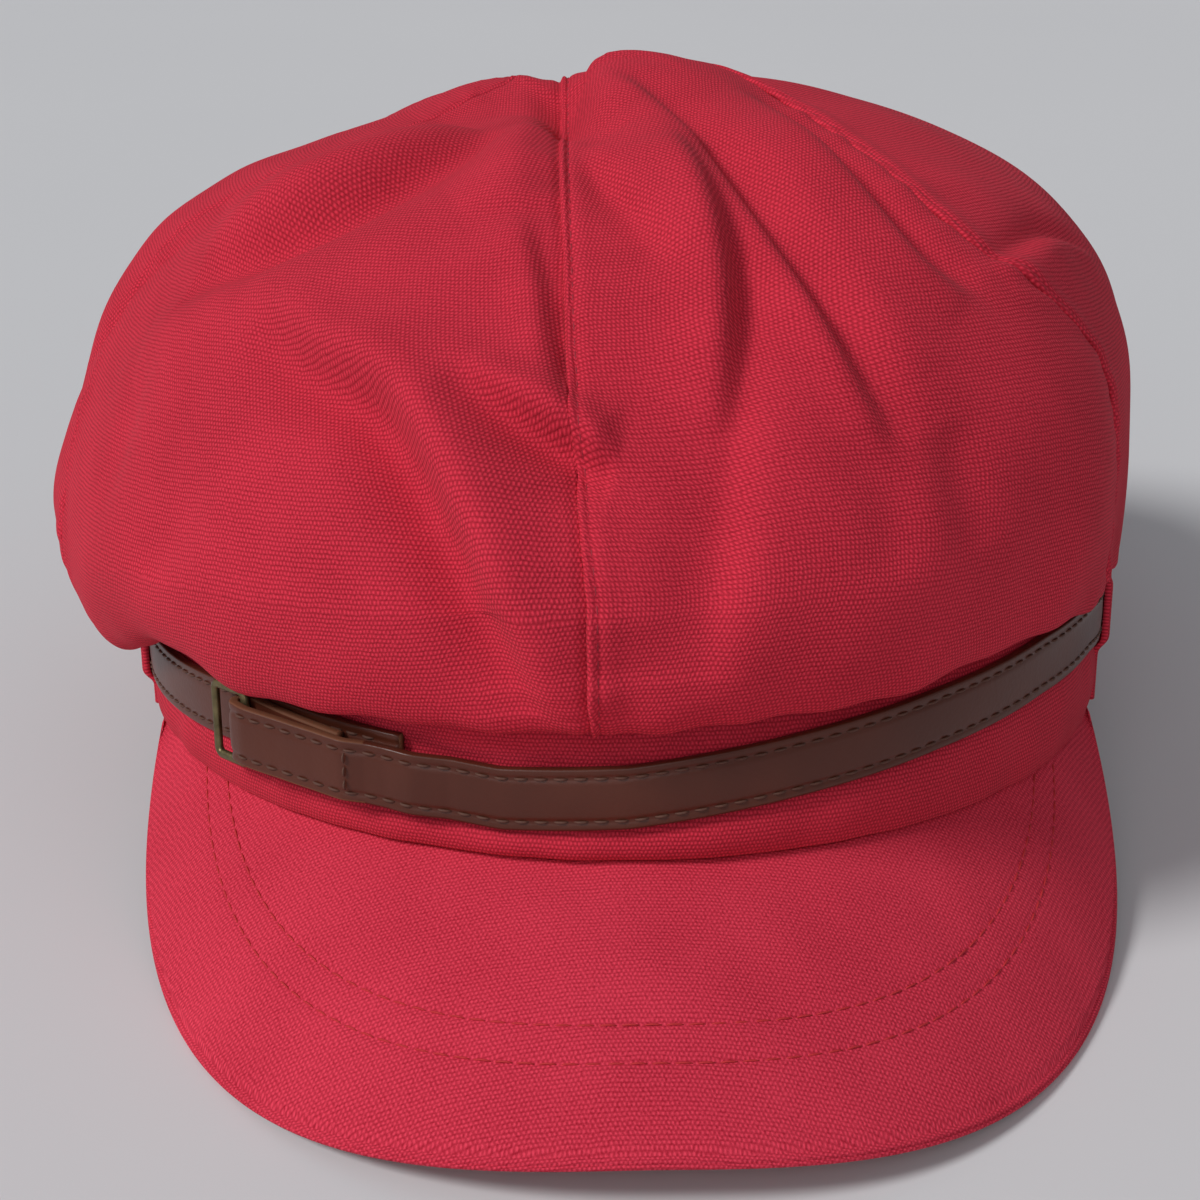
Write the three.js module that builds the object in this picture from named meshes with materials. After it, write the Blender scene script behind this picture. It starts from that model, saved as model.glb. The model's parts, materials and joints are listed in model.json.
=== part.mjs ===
// A soft six panel cap with a peak, a leather belt round its band and a small buckle.
// Millimetres. The cap's own frame has the band's lower edge in z = 0 and its front towards -Y.
// The whole cap is then pitched onto the peak's low corners and the back of its band.
import * as THREE from "three";

const RAD = Math.PI / 180;
const GAP = 0.3;

const BAND_HALF_WIDTH = 87;
const BAND_HALF_LENGTH = 96;
const BAND_HEIGHT = 30;
const BAND_WALL = 2;
const BAND_PER_DEGREE = Math.hypot(BAND_HALF_WIDTH, BAND_HALF_LENGTH) * Math.SQRT1_2 * RAD;

const CLOTH = 1.6;
const CROWN_HEIGHT = 109.5;
const CROWN_REACH = 104;
const CROWN_APEX = { x: -11, y: 14 };
const APEX_FADE = 1.5;
const APEX_DIP = 2.4;
const APEX_DIP_WIDE = 0.035;
const CROWN_TIP = 0.8;
const SEWN_CLEAR = 0.9;
const HEM_ROLL = 2.2;
const HEM_OUT = 0.5;
const HEM_CLEAR = 3.6;
const TUCK_CURVE = 0.8;
const PANEL_PUFF = 1.2;
const FOLD_WIDTH = 6;
const FOLD_HEIGHT = 3;
const FOLD_END = 0.15;
const FOLD_TAPER = 0.7;
const FOLD_LEAST = 5;
const GATHER_HEIGHT = 0.5;
const GATHERS = 46;

// Shares of the run down the crown, from its top to its sewn edge.
const BELLY_AT = 0.62;
const HEM_AT = 0.84;
const ROLL_AT = 0.88;
const SHOULDER_AT = 0.33;
const GATHER_AT = 0.8;
const GATHER_SPREAD = 0.16;
const CALM_TOP = 0.02;
const CALM_EDGE = 0.1;

// Length of cloth from the crown's top to its sewn edge, near enough to size the folds by.
const DOME_DEPTH = 0.62 * CROWN_HEIGHT;
const DOME_RUN = (Math.PI / 2) * Math.hypot(CROWN_REACH, DOME_DEPTH) * Math.SQRT1_2;
const CROWN_RUN = DOME_RUN / BELLY_AT;

const VISOR_REACH = 41;
const VISOR_HALF_WIDTH = 83;
const VISOR_ROOT_BACK = 25;
const VISOR_ROOT_TURN = 75;
const VISOR_SLOPE = 28.5;
const VISOR_FULLNESS = 2.3;
const VISOR_DIP = 0.9;
const VISOR_THICK = 3;
const VISOR_ARCH = 1.2;
const VISOR_END = 0.985;
const VISOR_END_THICK = 0.55;
const VISOR_EDGE_ROUND = 0.3;

const BELT_WIDTH = 9.5;
const LEATHER = 1.5;
const BELT_STEP = 5;
const BUCKLE_WIRE = 1.3;
const BUCKLE_RAIL = 1.5;
const BUCKLE_TURN = -40;
const BUCKLE_LENGTH = 9;
const LOOP_WIDTH = 9;
const LOOP_CLOTH = 1.2;
const LOOP_SEWN = 2;
const LOOP_RISE = 1.2;
const LOOP_LEAN = 0.55;
const LOOP_CLEAR = 0.4;

// Sections of the crown by the angle from the front, towards the wearer's left hand.
// reach is a share of CROWN_REACH, belly of CROWN_HEIGHT and hem of BAND_HEIGHT.
// out and up shape the dome between its top and its widest ring.
const SECTIONS = [
  { angle: 0, reach: 1.01, belly: 0.36, hem: 0.75, out: 0.94, up: 1.34 },
  { angle: 15, reach: 1.0, belly: 0.37, hem: 0.8, out: 0.93, up: 1.15 },
  { angle: 40, reach: 0.95, belly: 0.38, hem: 0.91, out: 0.93, up: 0.88 },
  { angle: 65, reach: 0.87, belly: 0.38, hem: 0.86, out: 0.85, up: 0.7 },
  { angle: 90, reach: 0.88, belly: 0.4, hem: 0.82, out: 0.87, up: 0.71 },
  { angle: 135, reach: 0.99, belly: 0.43, hem: 0.69, out: 0.91, up: 0.76 },
  { angle: 180, reach: 1.02, belly: 0.4, hem: 0.66, out: 1.0, up: 1.05 },
  { angle: 225, reach: 0.99, belly: 0.35, hem: 0.62, out: 1.05, up: 1.5 },
  { angle: 270, reach: 1.01, belly: 0.31, hem: 0.6, out: 0.93, up: 1.4 },
  { angle: 295, reach: 0.97, belly: 0.285, hem: 0.57, out: 0.93, up: 1.33 },
  { angle: 312, reach: 0.975, belly: 0.33, hem: 0.81, out: 0.97, up: 1.4 },
  { angle: 325, reach: 0.985, belly: 0.34, hem: 0.7, out: 0.97, up: 1.4 },
];

// Seams of the crown, as angles at the top, at the shoulder, and from the belly to the hem.
const SEAMS = [
  { top: -6, shoulder: -5, hem: -4 },
  { top: 53, shoulder: 41, hem: 63 },
  { top: 118, shoulder: 112, hem: 118 },
  { top: 176, shoulder: 172, hem: 175 },
  { top: 236, shoulder: 226, hem: 230 },
  { top: 308, shoulder: 279, hem: 286 },
];

// Ridges and valleys of the crown. line holds angles and shares of the run down the crown.
// high is a share of FOLD_HEIGHT, below zero for a valley. below and above are shares of
// FOLD_WIDTH: how far it spreads to the left or below its line, and to the right or above it.
const SWELLS = [
  { high: 0.45, below: 1.5, above: 1.5, line: [[-30, 0.3], [-20, 0.35], [-14, 0.42], [-10, 0.5]] },
  { high: -0.4, below: 1.2, above: 0.8, line: [[-16, 0.52], [-12, 0.6], [-9, 0.72]] },
  { high: 0.75, below: 2.3, above: 1.2, line: [[-62, 0.4], [-50, 0.36], [-40, 0.33], [-22, 0.25]] },
  { high: 1.7, below: 3, above: 3, line: [[-118, 0.29], [-98, 0.33], [-82, 0.38]] },
  { high: -2, below: 2.8, above: 2.4, line: [[-110, 0.14], [-45, 0.13], [-20, 0.1], [-8, 0.06]] },
  { high: -0.4, below: 1, above: 0.7, line: [[-57, 0.4], [-57, 0.46], [-57, 0.54]] },
  { high: -0.45, below: 1, above: 1, line: [[-40, 0.49], [-42, 0.54], [-46, 0.61]] },
  { high: 0.85, below: 1.3, above: 0.8, line: [[-16, 0.1], [-13, 0.18], [-11, 0.27]] },
  { high: -0.9, below: 0.7, above: 0.7, line: [[-8, 0.05], [-5, 0.1], [-1, 0.16], [4, 0.2]] },
  { high: -1.8, below: 1, above: 1, line: [[186, 0.02], [186, 0.07], [188, 0.12], [193, 0.2]] },
  { high: 1.5, below: 2.2, above: 2.2, line: [[4, 0.08], [31, 0.1], [57, 0.13]] },
  { high: 0.65, below: 0.8, above: 1, line: [[5, 0.17], [8, 0.22], [11, 0.27], [12, 0.33]] },
  { high: 0.6, below: 0.7, above: 1.3, line: [[21, 0.18], [25, 0.25], [25, 0.32], [25, 0.46]] },
  { high: -0.4, below: 0.8, above: 0.8, line: [[18, 0.48], [20, 0.54], [19, 0.6]] },
  { high: -0.9, below: 1.3, above: 0.6, line: [[9, 0.4], [7, 0.5], [5, 0.6], [4, 0.7]] },
  { high: -0.4, below: 0.8, above: 0.8, line: [[27, 0.5], [27, 0.54], [28, 0.6]] },
  { high: -0.85, below: 1.2, above: 1.2, line: [[100, 0.3], [118, 0.42], [128, 0.6]] },
  { high: -0.85, below: 1.2, above: 1.2, line: [[150, 0.25], [162, 0.42], [158, 0.66]] },
  { high: -0.85, below: 1.2, above: 1.2, line: [[205, 0.3], [196, 0.42], [202, 0.62]] },
  { high: -0.85, below: 1.2, above: 1.2, line: [[238, 0.28], [250, 0.42], [262, 0.58]] },
];

// Steps of the crown, where the cloth on one side of a line stands over the other. high is how
// far the side to the right or above stands up, and slope is how far the step takes.
const STEPS = [
  {
    high: 2.2, slope: 0.55, below: 1.4, above: 1.5,
    line: [[-38, 0.36], [-30, 0.39], [-22, 0.415], [-17, 0.46], [-13, 0.53], [-11, 0.61], [-7, 0.76]],
  },
  {
    high: 1.7, slope: 0.35, below: 1.1, above: 1.1,
    line: [[-13, 0.405], [-9, 0.425], [-5, 0.445], [-3, 0.46], [0, 0.465]],
  },
  {
    high: 2.2, slope: 0.8, below: 1.3, above: 2.2,
    line: [[-60, 0.33], [-52, 0.31], [-45, 0.285], [-38, 0.25], [-31, 0.2], [-24, 0.15]],
  },
  {
    high: -0.55, slope: 0.25, below: 0.8, above: 0.7,
    line: [[-9, 0.28], [-7, 0.33], [-6, 0.38], [-5, 0.42]],
  },
  {
    high: 0.6, slope: 0.3, below: 0.7, above: 0.8,
    line: [[-1, 0.2], [2, 0.24], [5, 0.28], [7, 0.33]],
  },
  {
    high: -1.1, slope: 0.25, below: 1.2, above: 1.3,
    line: [[13, 0.22], [13, 0.28], [12, 0.34], [10, 0.4], [8, 0.46]],
  },
  {
    high: -0.8, slope: 0.25, below: 0.8, above: 0.8,
    line: [[12, 0.12], [16, 0.18], [18, 0.33], [19, 0.39], [20, 0.45], [21, 0.5]],
  },
  {
    high: -1.05, slope: 0.45, below: 1.3, above: 0.8,
    line: [[38, 0.17], [35, 0.24], [33, 0.31], [33, 0.37], [36, 0.42]],
  },
  {
    high: -0.65, slope: 0.3, below: 1.2, above: 0.8,
    line: [[42, 0.395], [50, 0.4], [60, 0.415], [72, 0.45]],
  },
  {
    high: 0.8, slope: 0.35, below: 0.9, above: 1.6,
    line: [[4, 0.04], [2, 0.08], [0, 0.13], [-2, 0.18]],
  },
];

// Height of the belt's lower edge round the band, as a share of BAND_HEIGHT, by turn from the front.
// The last rows are its tail.
const BELT_LINE = [
  { turn: -52, low: 0.31 },
  { turn: -40, low: 0.31 },
  { turn: -26, low: 0.23 },
  { turn: -13, low: 0.16 },
  { turn: -1, low: 0.19 },
  { turn: 16, low: 0.31 },
  { turn: 31, low: 0.41 },
  { turn: 47, low: 0.49 },
  { turn: 61, low: 0.51 },
  { turn: 81, low: 0.38 },
  { turn: 180, low: 0.27 },
  { turn: 279, low: 0.22 },
  { turn: 305, low: 0.28 },
  { turn: 320, low: 0.32 },
  { turn: 337, low: 0.27 },
];

// The belt's path from its stitched return, round the buckle's bar, over the return and round
// the band to its tail. turn is in degrees from the bar, and nose is a share of the fold's nose.
// layer counts thicknesses of leather off the band, and wrap is a share of the climb over the bar.
const BELT_PATH = [
  { turn: 11, nose: 0, layer: 1, wrap: 0 },
  { turn: 7, nose: 0, layer: 1, wrap: 0 },
  { turn: 0, nose: 0.55, layer: 1, wrap: 0 },
  { turn: 0, nose: -0.4, layer: 1, wrap: 0.08 },
  { turn: 0, nose: -1, layer: 1, wrap: 0.5 },
  { turn: 0, nose: -0.4, layer: 1, wrap: 0.92 },
  { turn: 0, nose: 0.7, layer: 1, wrap: 1 },
  { turn: 5, nose: 0, layer: 1.6, wrap: 0.4 },
  { turn: 9, nose: 0, layer: 2, wrap: 0.03 },
  { turn: 12, nose: 0, layer: 2, wrap: 0 },
  { turn: 14, nose: 0, layer: 1.25, wrap: 0 },
  { turn: 16, nose: 0, layer: 1, wrap: 0 },
  { turn: 18.6, nose: 0, layer: 1, wrap: 0 },
  { turn: 22, nose: 0, layer: 0.12, wrap: 0 },
  { turn: 25, nose: 0, layer: 0, wrap: 0 },
  { turn: 40, nose: 0, layer: 0, wrap: 0 },
  { turn: 377, nose: 0, layer: 0, wrap: 0 },
];
const FOLD_NOSE = (BUCKLE_WIRE + LEATHER) / 2 + 3 * GAP;
const BAR_CLIMB = BUCKLE_WIRE + LEATHER + 3 * GAP;

const LOOPS = [
  { name: "belt_loop_right", turn: 75 },
  { name: "belt_loop_left", turn: 283 },
];

const mix = (from, to, share) => from + (to - from) * share;
const clamp = (value) => Math.min(1, Math.max(0, value));
const smooth = (share) => share * share * (3 - 2 * share);

function sectionAt(angle) {
  const turn = ((angle % 360) + 360) % 360;
  const last = SECTIONS.length - 1;
  let row = last;
  while (SECTIONS[row].angle > turn) row -= 1;
  const from = SECTIONS[row];
  const to = SECTIONS[row === last ? 0 : row + 1];
  const span = (row === last ? 360 : to.angle) - from.angle;
  const share = smooth((turn - from.angle) / span);
  const value = (column) => mix(from[column], to[column], share);
  return {
    reach: value("reach") * CROWN_REACH,
    belly: value("belly") * CROWN_HEIGHT,
    hem: value("hem") * BAND_HEIGHT,
    out: value("out"),
    up: value("up"),
  };
}

function bandRadius(angle) {
  const across = Math.sin(angle * RAD) / BAND_HALF_WIDTH;
  const along = Math.cos(angle * RAD) / BAND_HALF_LENGTH;
  return 1 / Math.hypot(across, along);
}

// Radius and height of the plain crown, without folds, at a share down its run.
function crownProfile(angle, down) {
  const section = sectionAt(angle);
  const band = bandRadius(angle);
  const hemReach = Math.max(band + HEM_CLEAR, mix(band, section.reach, HEM_OUT));
  const sewnReach = band - BAND_WALL / 2;
  const sewnHeight = BAND_HEIGHT + SEWN_CLEAR + CLOTH / 2;
  if (down < BELLY_AT) {
    const turn = ((down / BELLY_AT) * Math.PI) / 2;
    const dip = APEX_DIP * Math.exp(-((down / APEX_DIP_WIDE) ** 2));
    return {
      radius: mix(CROWN_TIP, section.reach, Math.sin(turn) ** section.out),
      height: mix(section.belly, CROWN_HEIGHT, Math.cos(turn) ** section.up) - dip,
    };
  }
  if (down < HEM_AT) {
    const turn = (((down - BELLY_AT) / (HEM_AT - BELLY_AT)) * Math.PI) / 2;
    return {
      radius: mix(hemReach, section.reach, Math.cos(turn)),
      height: mix(section.belly, section.hem, Math.sin(turn)),
    };
  }
  const roll = clamp((down - HEM_AT) / (ROLL_AT - HEM_AT)) * (Math.PI / 2);
  const tuck = clamp((down - ROLL_AT) / (1 - ROLL_AT)) * (Math.PI / 2);
  const rollSize = Math.min(HEM_ROLL, (hemReach - band) / 2);
  const rolled = hemReach - rollSize * Math.sin(roll);
  const raised = section.hem + rollSize * (1 - Math.cos(roll));
  return {
    radius: mix(sewnReach, rolled, Math.max(0, Math.cos(tuck)) ** TUCK_CURVE),
    height: mix(raised, sewnHeight, Math.sin(tuck)),
  };
}

function crownPlain(angle, down) {
  const { radius, height } = crownProfile(angle, down);
  const drift = Math.max(0, 1 - down / BELLY_AT) ** APEX_FADE;
  return new THREE.Vector3(
    CROWN_APEX.x * drift + radius * Math.sin(angle * RAD),
    CROWN_APEX.y * drift - radius * Math.cos(angle * RAD),
    height,
  );
}

// Outward normal of the plain crown.
function crownNormal(angle, down) {
  const step = 0.004;
  const turn = 0.4;
  const lower = crownPlain(angle, Math.min(1, down + step));
  const upper = crownPlain(angle, Math.max(0, down - step));
  const left = crownPlain(angle - turn, down);
  const right = crownPlain(angle + turn, down);
  return lower.sub(upper).cross(right.sub(left)).normalize();
}

// How near a point of the crown is to a line, its side from -1 above to 1 below, and how far along.
function nearLine(line, angle, down) {
  const around = CROWN_REACH * RAD * Math.sin((Math.min(1, down / BELLY_AT) * Math.PI) / 2);
  const best = { near: Infinity, side: 0, at: 0 };
  for (let row = 1; row < line.length; row += 1) {
    const [fromAngle, fromDown] = line[row - 1];
    const [toAngle, toDown] = line[row];
    const swing = ((((angle - fromAngle) % 360) + 540) % 360) - 180;
    const x = swing * around;
    const y = (down - fromDown) * CROWN_RUN;
    const alongX = (toAngle - fromAngle) * around;
    const alongY = (toDown - fromDown) * CROWN_RUN;
    const length = Math.max(GAP, Math.hypot(alongX, alongY));
    const share = clamp((x * alongX + y * alongY) / length ** 2);
    const near = Math.hypot(x - share * alongX, y - share * alongY);
    if (near < best.near) {
      best.near = near;
      best.side = (alongX * y - alongY * x) / (length * Math.max(GAP / 10, near));
      best.at = (row - 1 + share) / (line.length - 1);
    }
  }
  best.side = Math.min(1, Math.max(-1, best.side));
  return best;
}

// Height of the crown's folds. The solid's facets are too coarse for any that are narrower
// than FOLD_LEAST.
function foldHeight(angle, down) {
  let height = 0;
  for (const { high, slope, below, above, line } of [...SWELLS, ...STEPS]) {
    const { near, side, at } = nearLine(line, angle, down);
    const wide = Math.max(FOLD_LEAST, FOLD_WIDTH * mix(above, below, smooth((side + 1) / 2)));
    const climb = slope ? Math.tanh((-side * near) / Math.max(FOLD_LEAST, slope * FOLD_WIDTH)) : 1;
    const taper = mix(FOLD_END, 1, Math.sin(Math.PI * at) ** FOLD_TAPER);
    height += high * FOLD_HEIGHT * taper * climb * Math.exp(-((near / wide) ** 2));
  }
  return height;
}

function seamAngle(seam, down) {
  const turns = Math.floor(seam / SEAMS.length);
  const { top, shoulder, hem } = SEAMS[seam - turns * SEAMS.length];
  const upper = smooth(clamp(down / SHOULDER_AT));
  const lower = smooth(clamp((down - SHOULDER_AT) / (BELLY_AT - SHOULDER_AT)));
  return turns * 360 + mix(mix(top, shoulder, upper), hem, lower);
}

// A point of a panel's cloth, lifted off its middle surface.
function panelPoint(panel, across, down, lift) {
  const from = seamAngle(panel, down);
  const to = seamAngle(panel + 1, down);
  const { radius } = crownProfile(mix(from, to, across), down);
  const inset = GAP / 2 / radius / RAD;
  const angle = mix(from + inset, to - inset, across);
  const calm = Math.min(1, down / CALM_TOP, (1 - down) / CALM_EDGE);
  const puff = PANEL_PUFF * Math.sin(Math.PI * across) * Math.sin(Math.PI * clamp(down / HEM_AT));
  const low = clamp(1 - Math.abs(down - GATHER_AT) / GATHER_SPREAD);
  const gather = GATHER_HEIGHT * low * Math.sin(GATHERS * angle * RAD);
  const height = calm * foldHeight(angle, down) + puff + gather * calm;
  const point = crownPlain(angle, down);
  return point.addScaledVector(crownNormal(angle, down), height + lift);
}

// A closed solid from rings of points: each ring is joined to the next, and the ends are capped.
function loftSolid(rings, closed) {
  const size = rings[0].length;
  const positions = rings.flat().flatMap((point) => [point.x, point.y, point.z]);
  const index = [];
  const count = rings.length;
  for (let ring = 0; ring < (closed ? count : count - 1); ring += 1) {
    const next = (ring + 1) % count;
    for (let side = 0; side < size; side += 1) {
      const other = (side + 1) % size;
      const a = ring * size + side;
      const b = ring * size + other;
      const c = next * size + other;
      const d = next * size + side;
      index.push(a, b, c, a, c, d);
    }
  }
  if (!closed) {
    const last = (count - 1) * size;
    for (let side = 0; side < size / 2 - 1; side += 1) {
      const far = size - 1 - side;
      index.push(side, far, far - 1, side, far - 1, side + 1);
      index.push(last + side, last + far - 1, last + far);
      index.push(last + side, last + side + 1, last + far - 1);
    }
  }
  const geometry = new THREE.BufferGeometry();
  geometry.setAttribute("position", new THREE.Float32BufferAttribute(positions, 3));
  geometry.setIndex(index);
  return outward(geometry);
}

// Turns every face round when the solid's signed volume comes out below zero.
function outward(geometry) {
  const position = geometry.getAttribute("position");
  const index = geometry.getIndex();
  const corner = (k) => new THREE.Vector3().fromBufferAttribute(position, index.getX(k));
  let volume = 0;
  for (let k = 0; k < index.count; k += 3) {
    volume += corner(k).dot(corner(k + 1).cross(corner(k + 2)));
  }
  if (volume < 0) {
    const turned = [];
    for (let k = 0; k < index.count; k += 3) {
      turned.push(index.getX(k), index.getX(k + 2), index.getX(k + 1));
    }
    geometry.setIndex(turned);
  }
  return geometry;
}

function crownPanel(panel) {
  const across = 10;
  const domeRows = 15;
  const skirtRows = 6;
  const rollRows = 2;
  const tuckRows = 5;
  const downs = [];
  for (let row = 0; row < domeRows; row += 1) downs.push((row / domeRows) * BELLY_AT);
  for (let row = 0; row < skirtRows; row += 1) {
    downs.push(mix(BELLY_AT, HEM_AT, row / skirtRows));
  }
  for (let row = 0; row < rollRows; row += 1) downs.push(mix(HEM_AT, ROLL_AT, row / rollRows));
  for (let row = 0; row <= tuckRows; row += 1) downs.push(mix(ROLL_AT, 1, row / tuckRows));
  const rings = downs.map((down) => {
    const outer = [];
    const inner = [];
    for (let column = 0; column <= across; column += 1) {
      outer.push(panelPoint(panel, column / across, down, CLOTH / 2));
      inner.push(panelPoint(panel, column / across, down, -CLOTH / 2));
    }
    return [...outer, ...inner.reverse()];
  });
  return loftSolid(rings, false);
}

// A point off the band's outer face, at a turn round its ellipse.
function bandPoint(turn, off, height) {
  const sin = Math.sin(turn * RAD);
  const cos = Math.cos(turn * RAD);
  const normal = new THREE.Vector3(sin / BAND_HALF_WIDTH, -cos / BAND_HALF_LENGTH, 0).normalize();
  return new THREE.Vector3(
    BAND_HALF_WIDTH * sin + normal.x * off,
    -BAND_HALF_LENGTH * cos + normal.y * off,
    height,
  );
}

function band() {
  const steps = 96;
  const rings = [];
  for (let step = 0; step < steps; step += 1) {
    const turn = (step / steps) * 360;
    rings.push([
      bandPoint(turn, 0, 0),
      bandPoint(turn, 0, BAND_HEIGHT),
      bandPoint(turn, -BAND_WALL, BAND_HEIGHT),
      bandPoint(turn, -BAND_WALL, 0),
    ]);
  }
  return loftSolid(rings, true);
}

// Top of the peak: across runs from -1 to 1 round the brow, out from 0 at the band to 1 at the edge.
function visorTop(across, out) {
  const root = bandPoint(across * VISOR_ROOT_TURN, -BAND_WALL, -GAP);
  const swing = (across * Math.PI) / 2;
  const power = 2 / VISOR_FULLNESS;
  const sideways = Math.sign(swing) * Math.abs(Math.sin(swing)) ** power;
  const length = BAND_HALF_LENGTH + VISOR_REACH - VISOR_ROOT_BACK;
  const edge = new THREE.Vector3(
    VISOR_HALF_WIDTH * sideways,
    -VISOR_ROOT_BACK - length * Math.cos(swing) ** power,
    0,
  );
  const slope = Math.tan(VISOR_SLOPE * RAD);
  const dip = VISOR_DIP * slope * (BAND_HALF_LENGTH - VISOR_ROOT_BACK) * sideways ** 2;
  edge.z = Math.min(-GAP, slope * (edge.y + BAND_HALF_LENGTH) - dip);
  const point = root.lerp(edge, out);
  point.z += VISOR_ARCH * Math.sin(Math.PI * out) * Math.cos(swing);
  return point;
}

function visor() {
  const columns = 40;
  const rows = 8;
  const rings = [];
  for (let column = 0; column <= columns; column += 1) {
    const across = mix(-VISOR_END, VISOR_END, column / columns);
    const swing = (across * Math.PI) / 2;
    const thick = VISOR_THICK * mix(VISOR_END_THICK, 1, Math.sqrt(Math.cos(swing)));
    const upper = [];
    const lower = [];
    for (let row = 0; row <= rows; row += 1) {
      const here = visorTop(across, row / rows);
      const round = row === rows ? VISOR_EDGE_ROUND * thick : 0;
      upper.push(new THREE.Vector3(here.x, here.y, here.z - round));
      lower.push(new THREE.Vector3(here.x, here.y, here.z - thick + round));
    }
    rings.push([...upper, ...lower.reverse()]);
  }
  return loftSolid(rings, false);
}

function beltLow(turn) {
  let row = 0;
  while (row < BELT_LINE.length - 2 && BELT_LINE[row + 1].turn < turn) row += 1;
  const from = BELT_LINE[row];
  const to = BELT_LINE[row + 1];
  const share = clamp((turn - from.turn) / (to.turn - from.turn));
  return BAND_HEIGHT * mix(from.low, to.low, share);
}

const layerOff = (layer) => GAP + LEATHER / 2 + layer * (LEATHER + GAP);

// Stations along the belt: the turn from the front and the distance off the band.
function beltStations() {
  const rows = BELT_PATH.map(({ turn, nose, layer, wrap }) => ({
    turn: BUCKLE_TURN + turn + (nose * FOLD_NOSE) / BAND_PER_DEGREE,
    off: layerOff(layer) + wrap * BAR_CLIMB,
  }));
  const stations = [rows[0]];
  for (let row = 1; row < rows.length; row += 1) {
    const from = rows[row - 1];
    const to = rows[row];
    const steps = Math.max(1, Math.floor(Math.abs(to.turn - from.turn) / BELT_STEP));
    for (let step = 1; step <= steps; step += 1) {
      const share = step / steps;
      stations.push({ turn: mix(from.turn, to.turn, share), off: mix(from.off, to.off, share) });
    }
  }
  return stations;
}

function belt() {
  const stations = beltStations();
  const middle = stations.map(({ turn, off }) => bandPoint(turn, off, 0));
  const rings = stations.map(({ turn }, k) => {
    const before = middle[Math.max(0, k - 1)];
    const after = middle[Math.min(middle.length - 1, k + 1)];
    const along = after.clone().sub(before).normalize();
    const side = new THREE.Vector3(along.y, -along.x, 0).multiplyScalar(LEATHER / 2);
    const low = beltLow(turn);
    const out = middle[k].clone().add(side);
    const back = middle[k].clone().sub(side);
    return [
      new THREE.Vector3(out.x, out.y, low),
      new THREE.Vector3(out.x, out.y, low + BELT_WIDTH),
      new THREE.Vector3(back.x, back.y, low + BELT_WIDTH),
      new THREE.Vector3(back.x, back.y, low),
    ];
  });
  return loftSolid(rings, false);
}

// The buckle's frame: a flat ring of rails, whose near bar runs inside the belt's folded end.
function buckle() {
  const low = beltLow(BUCKLE_TURN) - GAP;
  const high = low + BELT_WIDTH + 2 * GAP;
  const barHalf = BUCKLE_WIRE / 2 / BAND_PER_DEGREE;
  const right = BUCKLE_TURN + barHalf;
  const left = right - BUCKLE_LENGTH / BAND_PER_DEGREE;
  const railTurn = BUCKLE_RAIL / BAND_PER_DEGREE;
  const off = layerOff(1) + BAR_CLIMB / 2;
  const inner = [
    [right - 2 * barHalf, low],
    [right - 2 * barHalf, high],
    [left + railTurn, high],
    [left + railTurn, low],
  ];
  const outer = [
    [right, low - BUCKLE_RAIL],
    [right, high + BUCKLE_RAIL],
    [left, high + BUCKLE_RAIL],
    [left, low - BUCKLE_RAIL],
  ];
  const rings = inner.map(([innerTurn, innerHeight], k) => {
    const [outerTurn, outerHeight] = outer[k];
    return [
      bandPoint(outerTurn, off + BUCKLE_WIRE / 2, outerHeight),
      bandPoint(innerTurn, off + BUCKLE_WIRE / 2, innerHeight),
      bandPoint(innerTurn, off - BUCKLE_WIRE / 2, innerHeight),
      bandPoint(outerTurn, off - BUCKLE_WIRE / 2, outerHeight),
    ];
  });
  return loftSolid(rings, true);
}

// A strip of band cloth sewn below and above the belt, standing off to let it pass.
function beltLoop({ turn }) {
  const half = LOOP_WIDTH / 2 / BAND_PER_DEGREE;
  const low = Math.min(beltLow(turn - half), beltLow(turn + half));
  const high = Math.max(beltLow(turn - half), beltLow(turn + half)) + BELT_WIDTH;
  const flat = GAP + LOOP_CLOTH / 2;
  const raised = layerOff(0) + LEATHER / 2 + GAP + LOOP_CLOTH / 2;
  const rising = mix(flat, raised, LOOP_LEAN);
  const path = [
    { height: 2 * GAP, off: flat },
    { height: low - LOOP_SEWN, off: flat },
    { height: low - LOOP_RISE, off: rising },
    { height: low - LOOP_CLEAR, off: raised },
    { height: high + LOOP_CLEAR, off: raised },
    { height: high + LOOP_RISE, off: rising },
    { height: high + LOOP_SEWN, off: flat },
  ];
  const across = 4;
  const rings = path.map(({ height, off }, k) => {
    const before = path[Math.max(0, k - 1)];
    const after = path[Math.min(path.length - 1, k + 1)];
    const rise = after.height - before.height;
    const lean = after.off - before.off;
    const length = Math.hypot(rise, lean);
    const out = (rise / length) * (LOOP_CLOTH / 2);
    const up = (-lean / length) * (LOOP_CLOTH / 2);
    const outer = [];
    const inner = [];
    for (let column = 0; column <= across; column += 1) {
      const here = turn + mix(-half, half, column / across);
      outer.push(bandPoint(here, off + out, height + up));
      inner.push(bandPoint(here, off - out, height - up));
    }
    return [...outer, ...inner.reverse()];
  });
  return loftSolid(rings, false);
}

const cap = new THREE.Group();
cap.name = "cap";

function add(name, geometry, color, metalness) {
  const roughness = metalness ? 0.4 : 0.85;
  const material = new THREE.MeshStandardMaterial({ color, metalness, roughness });
  const mesh = new THREE.Mesh(geometry, material);
  mesh.name = name;
  cap.add(mesh);
}

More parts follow.
